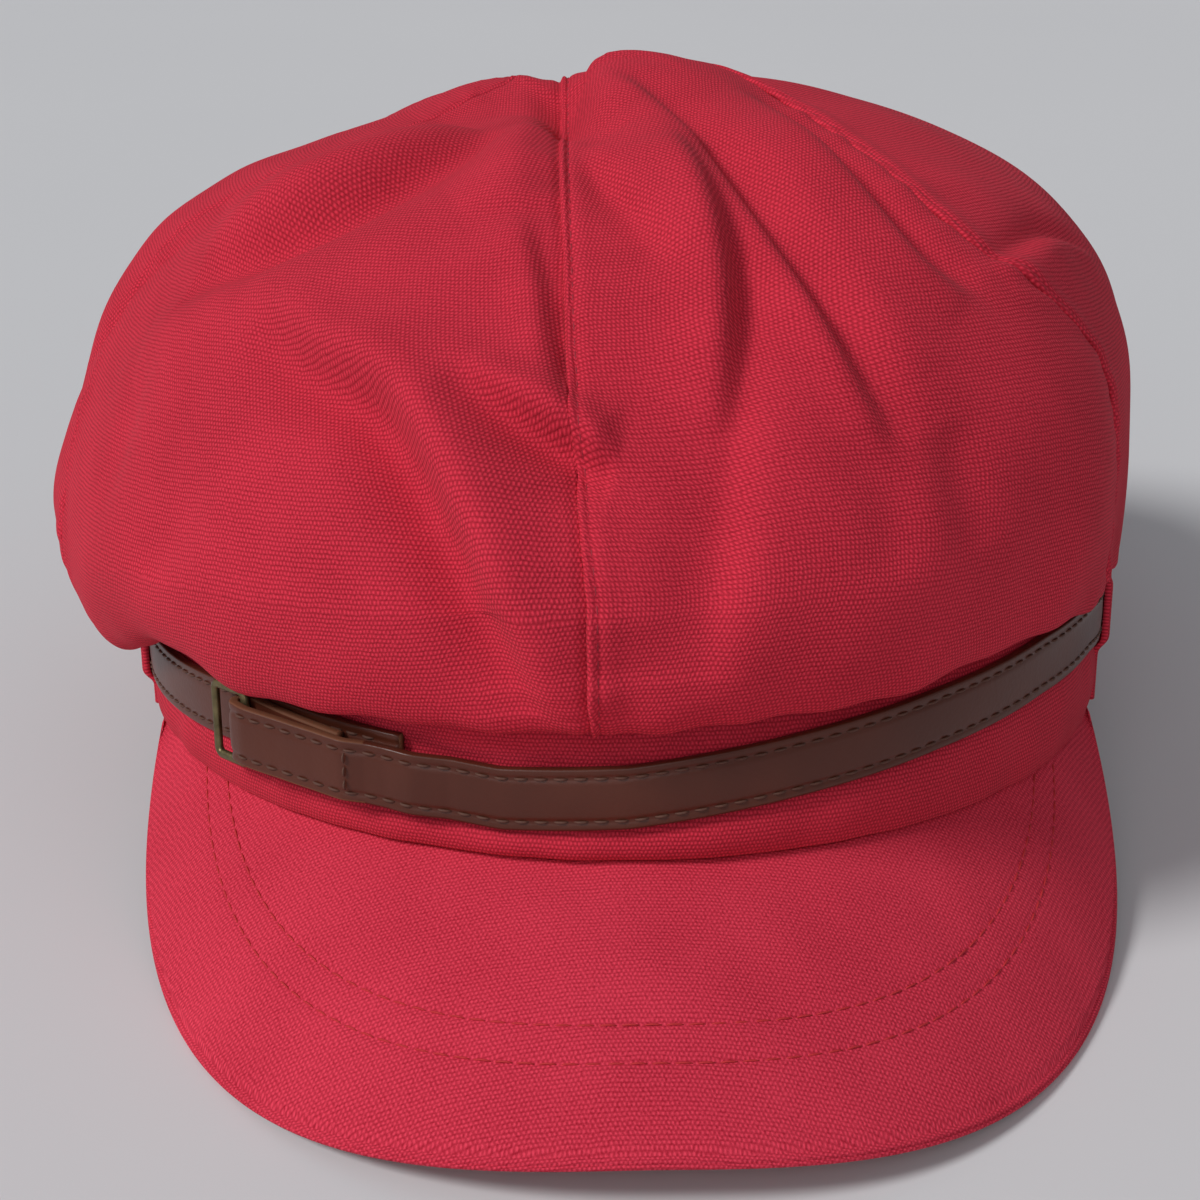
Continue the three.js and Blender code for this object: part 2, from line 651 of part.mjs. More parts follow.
SEAMS.forEach((_, panel) => {
  add(`crown_panel_${panel + 1}`, crownPanel(panel), panel % 2 ? "#b3263a" : "#c02c40", 0);
});
add("band", band(), "#9c2031", 0);
add("visor", visor(), "#bd2b3f", 0);
add("belt", belt(), "#4a2a20", 0);
add("buckle_frame", buckle(), "#8a7440", 1);
LOOPS.forEach((loop) => add(loop.name, beltLoop(loop), "#a82335", 0));

// Pitch the cap about the back of its band until the peak's low corners come down to the floor.
const backPoint = new THREE.Vector3(0, BAND_HALF_LENGTH, 0);
const peak = cap.getObjectByName("visor").geometry.getAttribute("position");
let pitch = 0;
for (let k = 0; k < peak.count; k += 1) {
  pitch = Math.max(pitch, Math.atan2(-peak.getZ(k), backPoint.y - peak.getY(k)));
}
const turnUp = new THREE.Matrix4().makeRotationX(-pitch);
const bounds = new THREE.Box3();
for (const mesh of cap.children) {
  mesh.geometry.applyMatrix4(turnUp);
  mesh.geometry.computeBoundingBox();
  bounds.union(mesh.geometry.boundingBox);
}
const middle = bounds.getCenter(new THREE.Vector3());
for (const mesh of cap.children) {
  mesh.geometry.translate(-middle.x, -middle.y, -bounds.min.z);
  mesh.geometry.computeVertexNormals();
}

export default cap;
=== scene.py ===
# The looks of a soft six panel cap: canvas crown, band and peak, leather belt, small brass buckle.
import json
import math

import bpy
import numpy as np
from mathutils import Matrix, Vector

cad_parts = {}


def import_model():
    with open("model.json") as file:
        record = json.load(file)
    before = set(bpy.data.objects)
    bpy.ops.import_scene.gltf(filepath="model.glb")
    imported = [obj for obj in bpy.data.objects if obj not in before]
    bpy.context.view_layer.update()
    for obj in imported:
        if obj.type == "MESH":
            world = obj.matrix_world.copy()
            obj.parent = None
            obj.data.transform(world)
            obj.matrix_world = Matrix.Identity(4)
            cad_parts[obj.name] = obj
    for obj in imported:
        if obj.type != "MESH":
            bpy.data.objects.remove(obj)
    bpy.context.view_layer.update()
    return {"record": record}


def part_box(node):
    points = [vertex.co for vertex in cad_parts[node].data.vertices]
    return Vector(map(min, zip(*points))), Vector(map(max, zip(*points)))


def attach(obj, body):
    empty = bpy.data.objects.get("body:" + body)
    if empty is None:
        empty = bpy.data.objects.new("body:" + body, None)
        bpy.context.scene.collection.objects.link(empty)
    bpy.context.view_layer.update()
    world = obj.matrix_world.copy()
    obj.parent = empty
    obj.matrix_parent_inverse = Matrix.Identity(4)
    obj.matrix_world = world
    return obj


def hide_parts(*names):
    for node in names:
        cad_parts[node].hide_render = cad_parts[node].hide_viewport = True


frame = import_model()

MM = 0.001
RAD = math.pi / 180
SEED = 7

# Shape of the cap, in millimetres, in the cap's own frame: band's lower edge in z = 0, front to -Y.
GAP = 0.3
BAND_HALF_WIDTH = 87
BAND_HALF_LENGTH = 96
BAND_HEIGHT = 30
BAND_WALL = 2
BAND_PER_DEGREE = math.hypot(BAND_HALF_WIDTH, BAND_HALF_LENGTH) * math.sqrt(0.5) * RAD

CLOTH = 1.6
CROWN_HEIGHT = 109.5
CROWN_REACH = 104
CROWN_APEX = (-11, 14)
APEX_FADE = 1.5
APEX_DIP = 2.4
APEX_DIP_WIDE = 0.035
CROWN_TIP = 0.15
SEWN_CLEAR = 0.9
HEM_ROLL = 2.2
HEM_OUT = 0.5
HEM_CLEAR = 3.6
HEM_TUCK = 0.3
TUCK_CURVE = 0.8
PANEL_PUFF = 1.2
FOLD_WIDTH = 6
FOLD_HEIGHT = 3
FOLD_END = 0.15
FOLD_TAPER = 0.7

BELLY_AT = 0.62
HEM_AT = 0.84
ROLL_AT = 0.88
SHOULDER_AT = 0.33
CALM_TOP = 0.02
CALM_EDGE = 0.1
DOME_DEPTH = 0.62 * CROWN_HEIGHT
DOME_RUN = math.pi / 2 * math.hypot(CROWN_REACH, DOME_DEPTH) * math.sqrt(0.5)
CROWN_RUN = DOME_RUN / BELLY_AT

VISOR_REACH = 41
VISOR_HALF_WIDTH = 83
VISOR_ROOT_BACK = 25
VISOR_ROOT_TURN = 75
VISOR_SLOPE = 28.5
VISOR_FULLNESS = 2.3
VISOR_DIP = 0.9
VISOR_THICK = 3
VISOR_ARCH = 1.2
VISOR_END = 0.985
VISOR_END_THICK = 0.55
VISOR_EDGE_ROUND = 0.3

BELT_WIDTH = 9.5
LEATHER = 1.5
BUCKLE_WIRE = 1.3
BUCKLE_RAIL = 1.5
BUCKLE_TURN = -40
BUCKLE_LENGTH = 9
LOOP_WIDTH = 9
LOOP_CLOTH = 1.2
LOOP_SEWN = 2
LOOP_RISE = 1.2
LOOP_CLEAR = 0.4

# Crown sections: angle, reach as a share of CROWN_REACH, belly's height of CROWN_HEIGHT and hem's
# height of BAND_HEIGHT, then the powers that shape the dome's run outward and upward.
SECTIONS = [
    (0, 1.01, 0.36, 0.75, 0.94, 1.34),
    (15, 1.0, 0.37, 0.8, 0.93, 1.15),
    (40, 0.95, 0.38, 0.91, 0.93, 0.88),
    (65, 0.87, 0.38, 0.86, 0.85, 0.7),
    (90, 0.88, 0.4, 0.82, 0.87, 0.71),
    (135, 0.99, 0.43, 0.69, 0.91, 0.76),
    (180, 1.02, 0.4, 0.66, 1.0, 1.05),
    (225, 0.99, 0.35, 0.62, 1.05, 1.5),
    (270, 1.01, 0.31, 0.6, 0.93, 1.4),
    (295, 0.97, 0.285, 0.57, 0.93, 1.33),
    (312, 0.975, 0.33, 0.81, 0.97, 1.4),
    (325, 0.985, 0.34, 0.7, 0.97, 1.4),
]

# Seams: angle at the top, at the shoulder, and from the belly to the hem.
SEAMS = [
    (-6, -5, -4),
    (53, 41, 63),
    (118, 112, 118),
    (176, 172, 175),
    (236, 226, 230),
    (308, 279, 286),
]

# Swells: height as a share of FOLD_HEIGHT, spread to the left or below and to the right or above
# as shares of FOLD_WIDTH, and the ridge's or valley's line, as (angle, share down the crown).
SWELLS = [
    (0.45, 1.5, 1.5, [(-30, 0.3), (-20, 0.35), (-14, 0.42), (-10, 0.5)]),
    (-0.4, 1.2, 0.8, [(-16, 0.52), (-12, 0.6), (-9, 0.72)]),
    (0.75, 2.3, 1.2, [(-62, 0.4), (-50, 0.36), (-40, 0.33), (-22, 0.25)]),
    (1.7, 3, 3, [(-118, 0.29), (-98, 0.33), (-82, 0.38)]),
    (-2, 2.8, 2.4, [(-110, 0.14), (-45, 0.13), (-20, 0.1), (-8, 0.06)]),
    (-0.4, 1, 0.7, [(-57, 0.4), (-57, 0.46), (-57, 0.54)]),
    (-0.45, 1, 1, [(-40, 0.49), (-42, 0.54), (-46, 0.61)]),
    (0.85, 1.3, 0.8, [(-16, 0.1), (-13, 0.18), (-11, 0.27)]),
    (-0.9, 0.7, 0.7, [(-8, 0.05), (-5, 0.1), (-1, 0.16), (4, 0.2)]),
    (-1.8, 1, 1, [(186, 0.02), (186, 0.07), (188, 0.12), (193, 0.2)]),
    (1.5, 2.2, 2.2, [(4, 0.08), (31, 0.1), (57, 0.13)]),
    (0.65, 0.8, 1, [(5, 0.17), (8, 0.22), (11, 0.27), (12, 0.33)]),
    (0.6, 0.7, 1.3, [(21, 0.18), (25, 0.25), (25, 0.32), (25, 0.46)]),
    (-0.4, 0.8, 0.8, [(18, 0.48), (20, 0.54), (19, 0.6)]),
    (-0.9, 1.3, 0.6, [(9, 0.4), (7, 0.5), (5, 0.6), (4, 0.7)]),
    (-0.4, 0.8, 0.8, [(27, 0.5), (27, 0.54), (28, 0.6)]),
    (-0.85, 1.2, 1.2, [(100, 0.3), (118, 0.42), (128, 0.6)]),
    (-0.85, 1.2, 1.2, [(150, 0.25), (162, 0.42), (158, 0.66)]),
    (-0.85, 1.2, 1.2, [(205, 0.3), (196, 0.42), (202, 0.62)]),
    (-0.85, 1.2, 1.2, [(238, 0.28), (250, 0.42), (262, 0.58)]),
]

# Steps: how far the side to the right or above stands up, as a share of FOLD_HEIGHT, then as
# shares of FOLD_WIDTH how far the slope takes and the spread on each side, and its line.
STEPS = [
    (
        2.2,
        0.55,
        1.4,
        1.5,
        [(-38, 0.36), (-30, 0.39), (-22, 0.415), (-17, 0.46), (-13, 0.53), (-11, 0.61), (-7, 0.76)],
    ),
    (1.5, 0.35, 1.1, 0.9, [(-14, 0.4), (-9, 0.425), (-5, 0.445), (-3, 0.46), (-1, 0.465)]),
    (2.5, 0.75, 1.3, 2.6, [(-60, 0.33), (-52, 0.31), (-45, 0.285), (-38, 0.25), (-31, 0.2), (-24, 0.15)]),
    (-0.55, 0.25, 0.8, 0.7, [(-9, 0.28), (-7, 0.33), (-6, 0.38), (-5, 0.42)]),
    (0.6, 0.3, 0.7, 0.8, [(-1, 0.2), (2, 0.24), (5, 0.28), (7, 0.33)]),
    (-1.1, 0.25, 1.2, 1.3, [(13, 0.22), (13, 0.28), (12, 0.34), (10, 0.4), (8, 0.46)]),
    (-0.8, 0.25, 0.8, 0.8, [(12, 0.12), (16, 0.18), (18, 0.33), (19, 0.39), (20, 0.45), (21, 0.5)]),
    (-1.05, 0.45, 1.3, 0.8, [(38, 0.17), (35, 0.24), (33, 0.31), (33, 0.37), (36, 0.42)]),
    (-0.65, 0.3, 1.2, 0.8, [(42, 0.395), (50, 0.4), (60, 0.415), (72, 0.45)]),
    (0.8, 0.35, 0.9, 1.6, [(4, 0.04), (2, 0.08), (0, 0.13), (-2, 0.18)]),
]

# Belt's lower edge: turn from the front, height as a share of the band's height.
BELT_LINE = [
    (-52, 0.31),
    (-40, 0.31),
    (-26, 0.23),
    (-13, 0.16),
    (-1, 0.19),
    (16, 0.31),
    (31, 0.41),
    (47, 0.49),
    (61, 0.51),
    (81, 0.38),
    (180, 0.27),
    (279, 0.22),
    (305, 0.28),
    (320, 0.32),
    (337, 0.27),
]

# Belt's path: turn from the buckle's bar, share of the fold's nose, layer of leather, climb.
BELT_PATH = [
    (11, 0, 1, 0),
    (7, 0, 1, 0),
    (0, 0.55, 1, 0),
    (0, -0.4, 1, 0.08),
    (0, -1, 1, 0.5),
    (0, -0.4, 1, 0.92),
    (0, 0.7, 1, 1),
    (5, 0, 1.6, 0.4),
    (9, 0, 2, 0.03),
    (12, 0, 2, 0),
    (14, 0, 1.25, 0),
    (16, 0, 1, 0),
    (18.6, 0, 1, 0),
    (22, 0, 0.12, 0),
    (25, 0, 0, 0),
    (40, 0, 0, 0),
    (377, 0, 0, 0),
]
FOLD_NOSE = (BUCKLE_WIRE + LEATHER) / 2 + 3 * GAP
BAR_CLIMB = BUCKLE_WIRE + LEATHER + 3 * GAP

# Where the cap's own frame stands in the scene: pitched as its rim is, on the band's packed box.
RIM_AXIS = frame["record"]["mounts"][0]["axis"]
PITCH = math.atan2(-RIM_AXIS[1], -RIM_AXIS[2])


def mix(start, end, share):
    return start + (end - start) * share


def clamp(value):
    return np.clip(value, 0, 1)


def smooth(share):
    return share * share * (3 - 2 * share)


def bell(distance, width):
    return np.exp(-((distance / width) ** 2))


def pitched(points):
    x, y, z = np.moveaxis(np.asarray(points, float), -1, 0)
    cos, sin = math.cos(PITCH), math.sin(PITCH)
    return np.stack([x, y * cos + z * sin, z * cos - y * sin], -1)


def band_point(turn, off, height):
    """A point off the band's outer face, at a turn round its ellipse."""
    turn, off, height = np.broadcast_arrays(np.asarray(turn, float), off, height)
    sin, cos = np.sin(turn * RAD), np.cos(turn * RAD)
    normal = np.stack([sin / BAND_HALF_WIDTH, -cos / BAND_HALF_LENGTH], -1)
    normal /= np.linalg.norm(normal, axis=-1, keepdims=True)
    x = BAND_HALF_WIDTH * sin + normal[..., 0] * off
    y = -BAND_HALF_LENGTH * cos + normal[..., 1] * off
    return np.stack([x, y, height], -1)


BOX_TURNS = 96


def frame_offset():
    """From the cap's own frame to the scene, so that the band falls on its packed box."""
    turns = np.linspace(0, 360, BOX_TURNS, endpoint=False)
    rings = [band_point(turns, 0, height) for height in (0, BAND_HEIGHT)]
    low = pitched(np.concatenate(rings)).min(axis=0)
    return np.array(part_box("band")[0]) - low * MM


OFFSET = frame_offset()


def world(points):
    """Metres in the scene, from millimetres in the cap's own frame."""
    return pitched(points) * MM + OFFSET


# Meshes


def add_mesh(name, points, faces, uvs=None, part=None, materials=(), slots=None):
    mesh = bpy.data.meshes.new(name)
    mesh.from_pydata(world(points).tolist(), [], faces)
    mesh.polygons.foreach_set("use_smooth", [True] * len(mesh.polygons))
    if uvs is not None:
        layer = mesh.uv_layers.new(name="cloth")
        corners = np.empty(len(mesh.loops), dtype=np.int32)
        mesh.loops.foreach_get("vertex_index", corners)
        layer.data.foreach_set("uv", np.asarray(uvs, float)[corners].ravel())
    for material in materials:
        mesh.materials.append(material)
    if slots is not None:
        mesh.polygons.foreach_set("material_index", slots)
    mesh.update()
    piece = bpy.data.objects.new(name, mesh)
    bpy.context.scene.collection.objects.link(piece)
    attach(piece, "root")
    if part:
        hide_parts(part)
    return piece


def grid_faces(rows, columns, wrap_rows=False, wrap_columns=False):
    faces = []
    for row in range(rows if wrap_rows else rows - 1):
        below = (row + 1) % rows
        for column in range(columns if wrap_columns else columns - 1):
            beside = (column + 1) % columns
            here = row * columns
            there = below * columns
            faces.append((here + column, there + column, there + beside, here + beside))
    return faces


def tube_faces(rings, sides):
    """Rings of a closed section, with both ends capped."""
    faces = grid_faces(rings, sides, wrap_columns=True)
    last = (rings - 1) * sides
    faces.append(tuple(range(sides)))
    faces.append(tuple(last + side for side in reversed(range(sides))))
    return faces


def flat_grid(points, columns_uv, rows_uv):
    return points.reshape(-1, 3), np.stack([columns_uv, rows_uv], -1).reshape(-1, 2)


def thicken(piece, thickness):
    shell = piece.modifiers.new("cloth thickness", "SOLIDIFY")
    shell.thickness = thickness * MM
    shell.offset = -1
    shell.use_even_offset = False


# Crown


def section_at(angle):
    """Reach, belly and hem in millimetres, and both powers, at any angle round the crown."""
    table = np.array(SECTIONS, float)
    angles = np.append(table[:, 0], 360)
    values = np.vstack([table[:, 1:], table[:1, 1:]])
    turn = np.asarray(angle, float) % 360
    row = np.clip(np.searchsorted(angles, turn, side="right") - 1, 0, len(SECTIONS) - 1)
    share = smooth((turn - angles[row]) / (angles[row + 1] - angles[row]))
    reach, belly, hem, out, up = [mix(values[row, k], values[row + 1, k], share) for k in range(5)]
    return reach * CROWN_REACH, belly * CROWN_HEIGHT, hem * BAND_HEIGHT, out, up


def crown_profile(angle, down):
    """Radius and height of the plain crown, without folds."""
    reach, belly, hem, out, up = section_at(angle)
    band = 1 / np.hypot(np.sin(angle * RAD) / BAND_HALF_WIDTH, np.cos(angle * RAD) / BAND_HALF_LENGTH)
    hem_reach = np.maximum(band + HEM_CLEAR, mix(band, reach, HEM_OUT))
    hem_reach = np.minimum(hem_reach, reach - HEM_TUCK)
    dome = clamp(down / BELLY_AT) * math.pi / 2
    dome_radius = mix(CROWN_TIP, reach, np.sin(dome) ** out)
    dip = APEX_DIP * bell(down, APEX_DIP_WIDE)
    dome_height = mix(belly, CROWN_HEIGHT, np.maximum(np.cos(dome), 0) ** up) - dip
    skirt = clamp((down - BELLY_AT) / (HEM_AT - BELLY_AT)) * math.pi / 2
    skirt_radius = mix(hem_reach, reach, np.cos(skirt))
    skirt_height = mix(belly, hem, np.sin(skirt))
    roll = clamp((down - HEM_AT) / (ROLL_AT - HEM_AT)) * math.pi / 2
    tuck = clamp((down - ROLL_AT) / (1 - ROLL_AT)) * math.pi / 2
    roll_size = np.minimum(HEM_ROLL, (hem_reach - band) / 2)
    rolled = hem_reach - roll_size * np.sin(roll)
    raised = hem + roll_size * (1 - np.cos(roll))
    tuck_radius = mix(band - BAND_WALL / 2, rolled, np.maximum(np.cos(tuck), 0) ** TUCK_CURVE)
    tuck_height = mix(raised, BAND_HEIGHT + SEWN_CLEAR + CLOTH / 2, np.sin(tuck))
    radius = np.where(down < HEM_AT, skirt_radius, tuck_radius)
    height = np.where(down < HEM_AT, skirt_height, tuck_height)
    return np.where(down < BELLY_AT, dome_radius, radius), np.where(down < BELLY_AT, dome_height, height)


def crown_plain(angle, down):
    """Points of the plain crown, whose top leans off the middle."""
    radius, height = crown_profile(angle, down)
    drift = np.maximum(0, 1 - down / BELLY_AT) ** APEX_FADE
    x = CROWN_APEX[0] * drift + radius * np.sin(angle * RAD)
    y = CROWN_APEX[1] * drift - radius * np.cos(angle * RAD)
    return np.stack([x, y, height], -1)


NORMAL_STEP = 0.004
NORMAL_TURN = 0.4


def crown_normal(angle, down):
    """Outward direction of the plain crown, from a short step each way across it."""
    above, below = np.maximum(0, down - NORMAL_STEP), np.minimum(1, down + NORMAL_STEP)
    fall = crown_plain(angle, below) - crown_plain(angle, above)
    sweep = crown_plain(angle + NORMAL_TURN, down) - crown_plain(angle - NORMAL_TURN, down)
    normal = np.cross(fall, sweep)
    return normal / np.linalg.norm(normal, axis=-1, keepdims=True)


def smooth_line(points, steps):
    """Points along a soft curve through the given ones."""
    knots = np.array([points[0], *points, points[-1]], float)
    line = []
    for before, start, end, after in zip(knots, knots[1:], knots[2:], knots[3:]):
        share = np.linspace(0, 1, steps, endpoint=False)[:, None]
        bend = (end - before) * share + (2 * before - 5 * start + 4 * end - after) * share**2
        bend += (3 * start - before - 3 * end + after) * share**3
        line.append(start + bend / 2)
    line.append(knots[-1:])
    return np.concatenate(line)


LINE_STEPS = 6
TINY = 1e-9


def from_line(angle, down, points):
    """Distance from a line on the crown, its side from -1 (above) to 1 (below), and how far along."""
    around = CROWN_REACH * RAD * np.sin(np.minimum(1, down / BELLY_AT) * math.pi / 2)
    line = smooth_line(points, LINE_STEPS)
    near = np.full(np.shape(angle), np.inf)
    side = np.zeros(np.shape(angle))
    at = np.zeros(np.shape(angle))
    for step, ((from_angle, from_down), (to_angle, to_down)) in enumerate(zip(line, line[1:])):
        px = ((angle - from_angle + 540) % 360 - 180) * around
        py = (down - from_down) * CROWN_RUN
        sx = (to_angle - from_angle) * around
        sy = (to_down - from_down) * CROWN_RUN
        along = clamp((px * sx + py * sy) / np.maximum(sx * sx + sy * sy, TINY))
        distance = np.hypot(px - along * sx, py - along * sy)
        turn = (sx * py - sy * px) / np.maximum(np.hypot(sx, sy) * distance, TINY)
        closer = distance < near
        near = np.where(closer, distance, near)
        side = np.where(closer, turn, side)
        at = np.where(closer, (step + along) / (len(line) - 1), at)
    return near, np.clip(side, -1, 1), at


def fold_share(at):
    """How a fold rises and dies away along its line."""
    return mix(FOLD_END, 1, np.sin(math.pi * at) ** FOLD_TAPER)


def fold_height(angle, down):
    """Sum of the swells and steps of the crown's cloth."""
    total = np.zeros(np.shape(angle))
    for high, below, above, points in SWELLS:
        near, side, at = from_line(angle, down, points)
        wide = FOLD_WIDTH * mix(above, below, smooth((side + 1) / 2))
        total += high * FOLD_HEIGHT * fold_share(at) * bell(near, wide)
    for high, slope, below, above, points in STEPS:
        near, side, at = from_line(angle, down, points)
        climb = np.tanh(-side * near / (slope * FOLD_WIDTH))
        wide = FOLD_WIDTH * mix(above, below, smooth((side + 1) / 2))
        total += high * FOLD_HEIGHT * fold_share(at) * climb * bell(near, wide)
    return total


def seam_angle(seam, down):
    """Angle of a seam at a share down the crown; the number after the last is the first again."""
    turns, row = divmod(seam, len(SEAMS))
    top, shoulder, hem = SEAMS[row]
    upper = smooth(clamp(down / SHOULDER_AT))
    lower = smooth(clamp((down - SHOULDER_AT) / (BELLY_AT - SHOULDER_AT)))
    return turns * 360 + mix(mix(top, shoulder, upper), hem, lower)


# Fine form of the cloth, in millimetres. SEAM_RIDGE is the front seam's, SIDE_RIDGE the others'.
SEAM_RIDGE = 0.45
SIDE_RIDGE = 0.2
SEAM_RIDGE_AT = 0.7
SEAM_RIDGE_WIDE = 0.55
SEAM_STITCH_AT = 1.5
SEAM_STITCH_DEEP = 0.3
SEAM_EDGE_DEEP = 0.55
SEAM_GROOVE_WIDE = 0.3
SEAM_UNDER_AT = 2.9
SEAM_UNDER_HIGH = 0.3
SEAM_UNDER_WIDE = 1.6
SEAM_LAP = 0.4
SEAM_LAP_RADIUS = 4
SEAM_TUCK = 0.4
SEAM_TUCK_WIDE = 0.8
SEAM_CALM = 3
RIPPLE = 0.3
PUCKER = 0.22
PUCKER_REACH = 7
BAND_RIPPLE = 0.16
PEAK_RIPPLE = 0.08

# Waves of the cloth: how many, then the shortest and the longest in millimetres.
PUCKER_WAVES = (6, 4, 11)
RIPPLE_WAVES = (9, 16, 60)
BAND_WAVES = (8, 8, 30)
PEAK_WAVES = (10, 8, 30)
RIPPLE_SEED = SEED + 20
BAND_SEED = SEED + 40
PEAK_SEED = SEED + 60

# Gathers above the hem: height, then where and how far as shares down the crown, how many go round
# the crown, and how far and how often they sway off an even spacing.
GATHER_HEIGHT = 0.25
GATHER_AT = 0.82
GATHER_REACH = 0.16
GATHER_COUNT = 46
GATHER_SWAY = 2
GATHER_SWAYS = 5


def ripples(u, v, count, shortest, longest, seed):
    """Soft uneven waves over a sheet, from a few sine waves of seeded length and direction."""
    random = np.random.default_rng(seed)
    total = np.zeros(np.shape(u))
    for _ in range(count):
        length = random.uniform(shortest, longest)
        heading = random.uniform(0, math.pi)
        phase = random.uniform(0, 2 * math.pi)
        total += np.sin(2 * math.pi * (u * math.cos(heading) + v * math.sin(heading)) / length + phase)
    return total / math.sqrt(count)


def seam_form(lead, trail, high):
    """The stitched edge on the lead side of a seam, and the tucked edge on its trail side."""
    ridge = high * bell(lead - SEAM_RIDGE_AT, SEAM_RIDGE_WIDE)
    under = SEAM_UNDER_HIGH * bell(lead - SEAM_UNDER_AT, SEAM_UNDER_WIDE)
    stitched = SEAM_STITCH_DEEP * bell(lead - SEAM_STITCH_AT, SEAM_GROOVE_WIDE)
    groove = stitched + SEAM_EDGE_DEEP * bell(lead, SEAM_GROOVE_WIDE)
    tucked = SEAM_TUCK * bell(np.maximum(trail, 0), SEAM_TUCK_WIDE)
    return ridge + under - groove - tucked


RUN_TURNS = 180
RUN_STEPS = 400


def run_table():
    """Length of cloth down the plain crown, by even turns and even shares of the run."""
    turns = np.linspace(0, 360, RUN_TURNS + 1)
    turn, down = np.meshgrid(turns, np.linspace(0, 1, RUN_STEPS + 1), indexing="ij")
    radius, height = crown_profile(turn, down)
    steps = np.hypot(np.diff(radius, axis=1), np.diff(height, axis=1))
    return np.pad(np.cumsum(steps, axis=1), ((0, 0), (1, 0)))


CLOTH_RUNS = run_table()


def cloth_run(angle, down):
    """Length of cloth from the crown's top, read off the table between its rows and columns."""
    row = (angle % 360) / 360 * RUN_TURNS
    column = down * RUN_STEPS
    low_row = np.floor(row).astype(int)
    low_column = np.minimum(np.floor(column), RUN_STEPS - 1).astype(int)
    over, past = row - low_row, column - low_column
    start = mix(CLOTH_RUNS[low_row, low_column], CLOTH_RUNS[low_row, low_column + 1], past)
    end = mix(CLOTH_RUNS[low_row + 1, low_column], CLOTH_RUNS[low_row + 1, low_column + 1], past)
    return mix(start, end, over)


def panel_surface(panel, across, down):
    """Points and flat cloth coordinates of one panel's outer face."""
    start, end = seam_angle(panel, down), seam_angle(panel + 1, down)
    radius, _ = crown_profile(mix(start, end, across), down)
    lap = SEAM_LAP / np.maximum(radius, SEAM_LAP_RADIUS) / RAD
    angle = mix(start, end + lap, across)
    width = (end - start) * RAD * radius
    u, v = (across - 0.5) * width, cloth_run(angle, down)
    calm = np.minimum(1, np.minimum(down / CALM_TOP, (1 - down) / CALM_EDGE))
    puff = PANEL_PUFF * np.sin(math.pi * across) * np.sin(math.pi * clamp(down / HEM_AT))
    lead, trail = across * width, (1 - across) * width - SEAM_LAP
    low = clamp(1 - np.abs(down - GATHER_AT) / GATHER_REACH)
    sway = GATHER_SWAY * np.sin(GATHER_SWAYS * angle * RAD)
    gather = GATHER_HEIGHT * low * np.sin(GATHER_COUNT * angle * RAD + sway)
    near_seam = bell(np.minimum(lead, trail), PUCKER_REACH)
    pucker = PUCKER * near_seam * ripples(v, v * 0, *PUCKER_WAVES, SEED + panel)
    ripple = RIPPLE * ripples(u, v, *RIPPLE_WAVES, RIPPLE_SEED + panel)
    height = calm * (fold_height(angle, down) + gather + pucker + ripple)
    ridge = SIDE_RIDGE if panel else SEAM_RIDGE
    height = height + puff + CLOTH / 2
    height = height + np.minimum(1, calm * SEAM_CALM) * seam_form(lead, trail, ridge)
    points = crown_plain(angle, down) + crown_normal(angle, down) * height[..., None]
    return points, u, v


PANEL_COLUMNS = 96
PANEL_ROWS = 190
PANEL_PACKING = 0.62


def crown_panels(material):
    """Six sheets, whose columns lie closer together near their seams."""
    even = np.linspace(0, 1, PANEL_COLUMNS)
    packed = even - PANEL_PACKING * np.sin(2 * math.pi * even) / (2 * math.pi)
    down, across = np.meshgrid(np.linspace(0, 1, PANEL_ROWS), packed, indexing="ij")
    faces = grid_faces(PANEL_ROWS, PANEL_COLUMNS)
    for panel in range(len(SEAMS)):
        surface, u, v = panel_surface(panel, across, down)
        points, uvs = flat_grid(surface, u, v)
        name = f"crown_panel_{panel + 1}"
        piece = add_mesh(f"{name}_cloth", points, faces, uvs, name, [material])
        thicken(piece, 1)


# Stitches

STITCH_SIDES = 6
STITCH_RINGS = 5
STITCH_ROUND = 0.6
STITCH_RISE = 0.55
STITCH_END = 0.55
# Threads: a stitch's length, the gap after it, its thickness and how deep it sinks, in millimetres.
CROWN_THREAD = (1.9, 0.7, 0.3, 0.14)
PEAK_THREAD = (2.3, 0.7, 0.3, 0.02)
BELT_THREAD = (2.0, 0.9, 0.46, 0.1)
CROSS_THREAD = (1.5, 0.6, 0.4, 0.12)


def stitch_row(line, up, length, gap, thick, sink):
    """Points and faces of a row of thread capsules along a line that lies on a surface."""
    steps = np.linalg.norm(np.diff(line, axis=0), axis=1)
    run = np.concatenate([[0], np.cumsum(steps)])
    points, faces = [], []
    for start in np.arange(0, run[-1] - length, length + gap):
        share = np.linspace(0, 1, STITCH_RINGS)
        at = start + length * share
        middle = np.stack([np.interp(at, run, line[:, k]) for k in range(3)], -1)
        rise = np.stack([np.interp(at, run, up[:, k]) for k in range(3)], -1)
        rise /= np.linalg.norm(rise, axis=1, keepdims=True)
        along = middle[-1] - middle[0]
        along /= np.linalg.norm(along)
        side = np.cross(along, rise)
        arch = np.sin(math.pi * share) ** STITCH_ROUND
        centre = middle + rise * (arch * thick * STITCH_RISE - sink)[:, None]
        fat = thick / 2 * mix(STITCH_END, 1, arch)
        base = len(points)
        for ring in range(STITCH_RINGS):
            for turn in np.linspace(0, 2 * math.pi, STITCH_SIDES, endpoint=False):
                offset = side[ring] * math.cos(turn) + rise[ring] * math.sin(turn)
                points.append(centre[ring] + offset * fat[ring])
        faces += [tuple(base + k for k in face) for face in tube_faces(STITCH_RINGS, STITCH_SIDES)]
    return points, faces


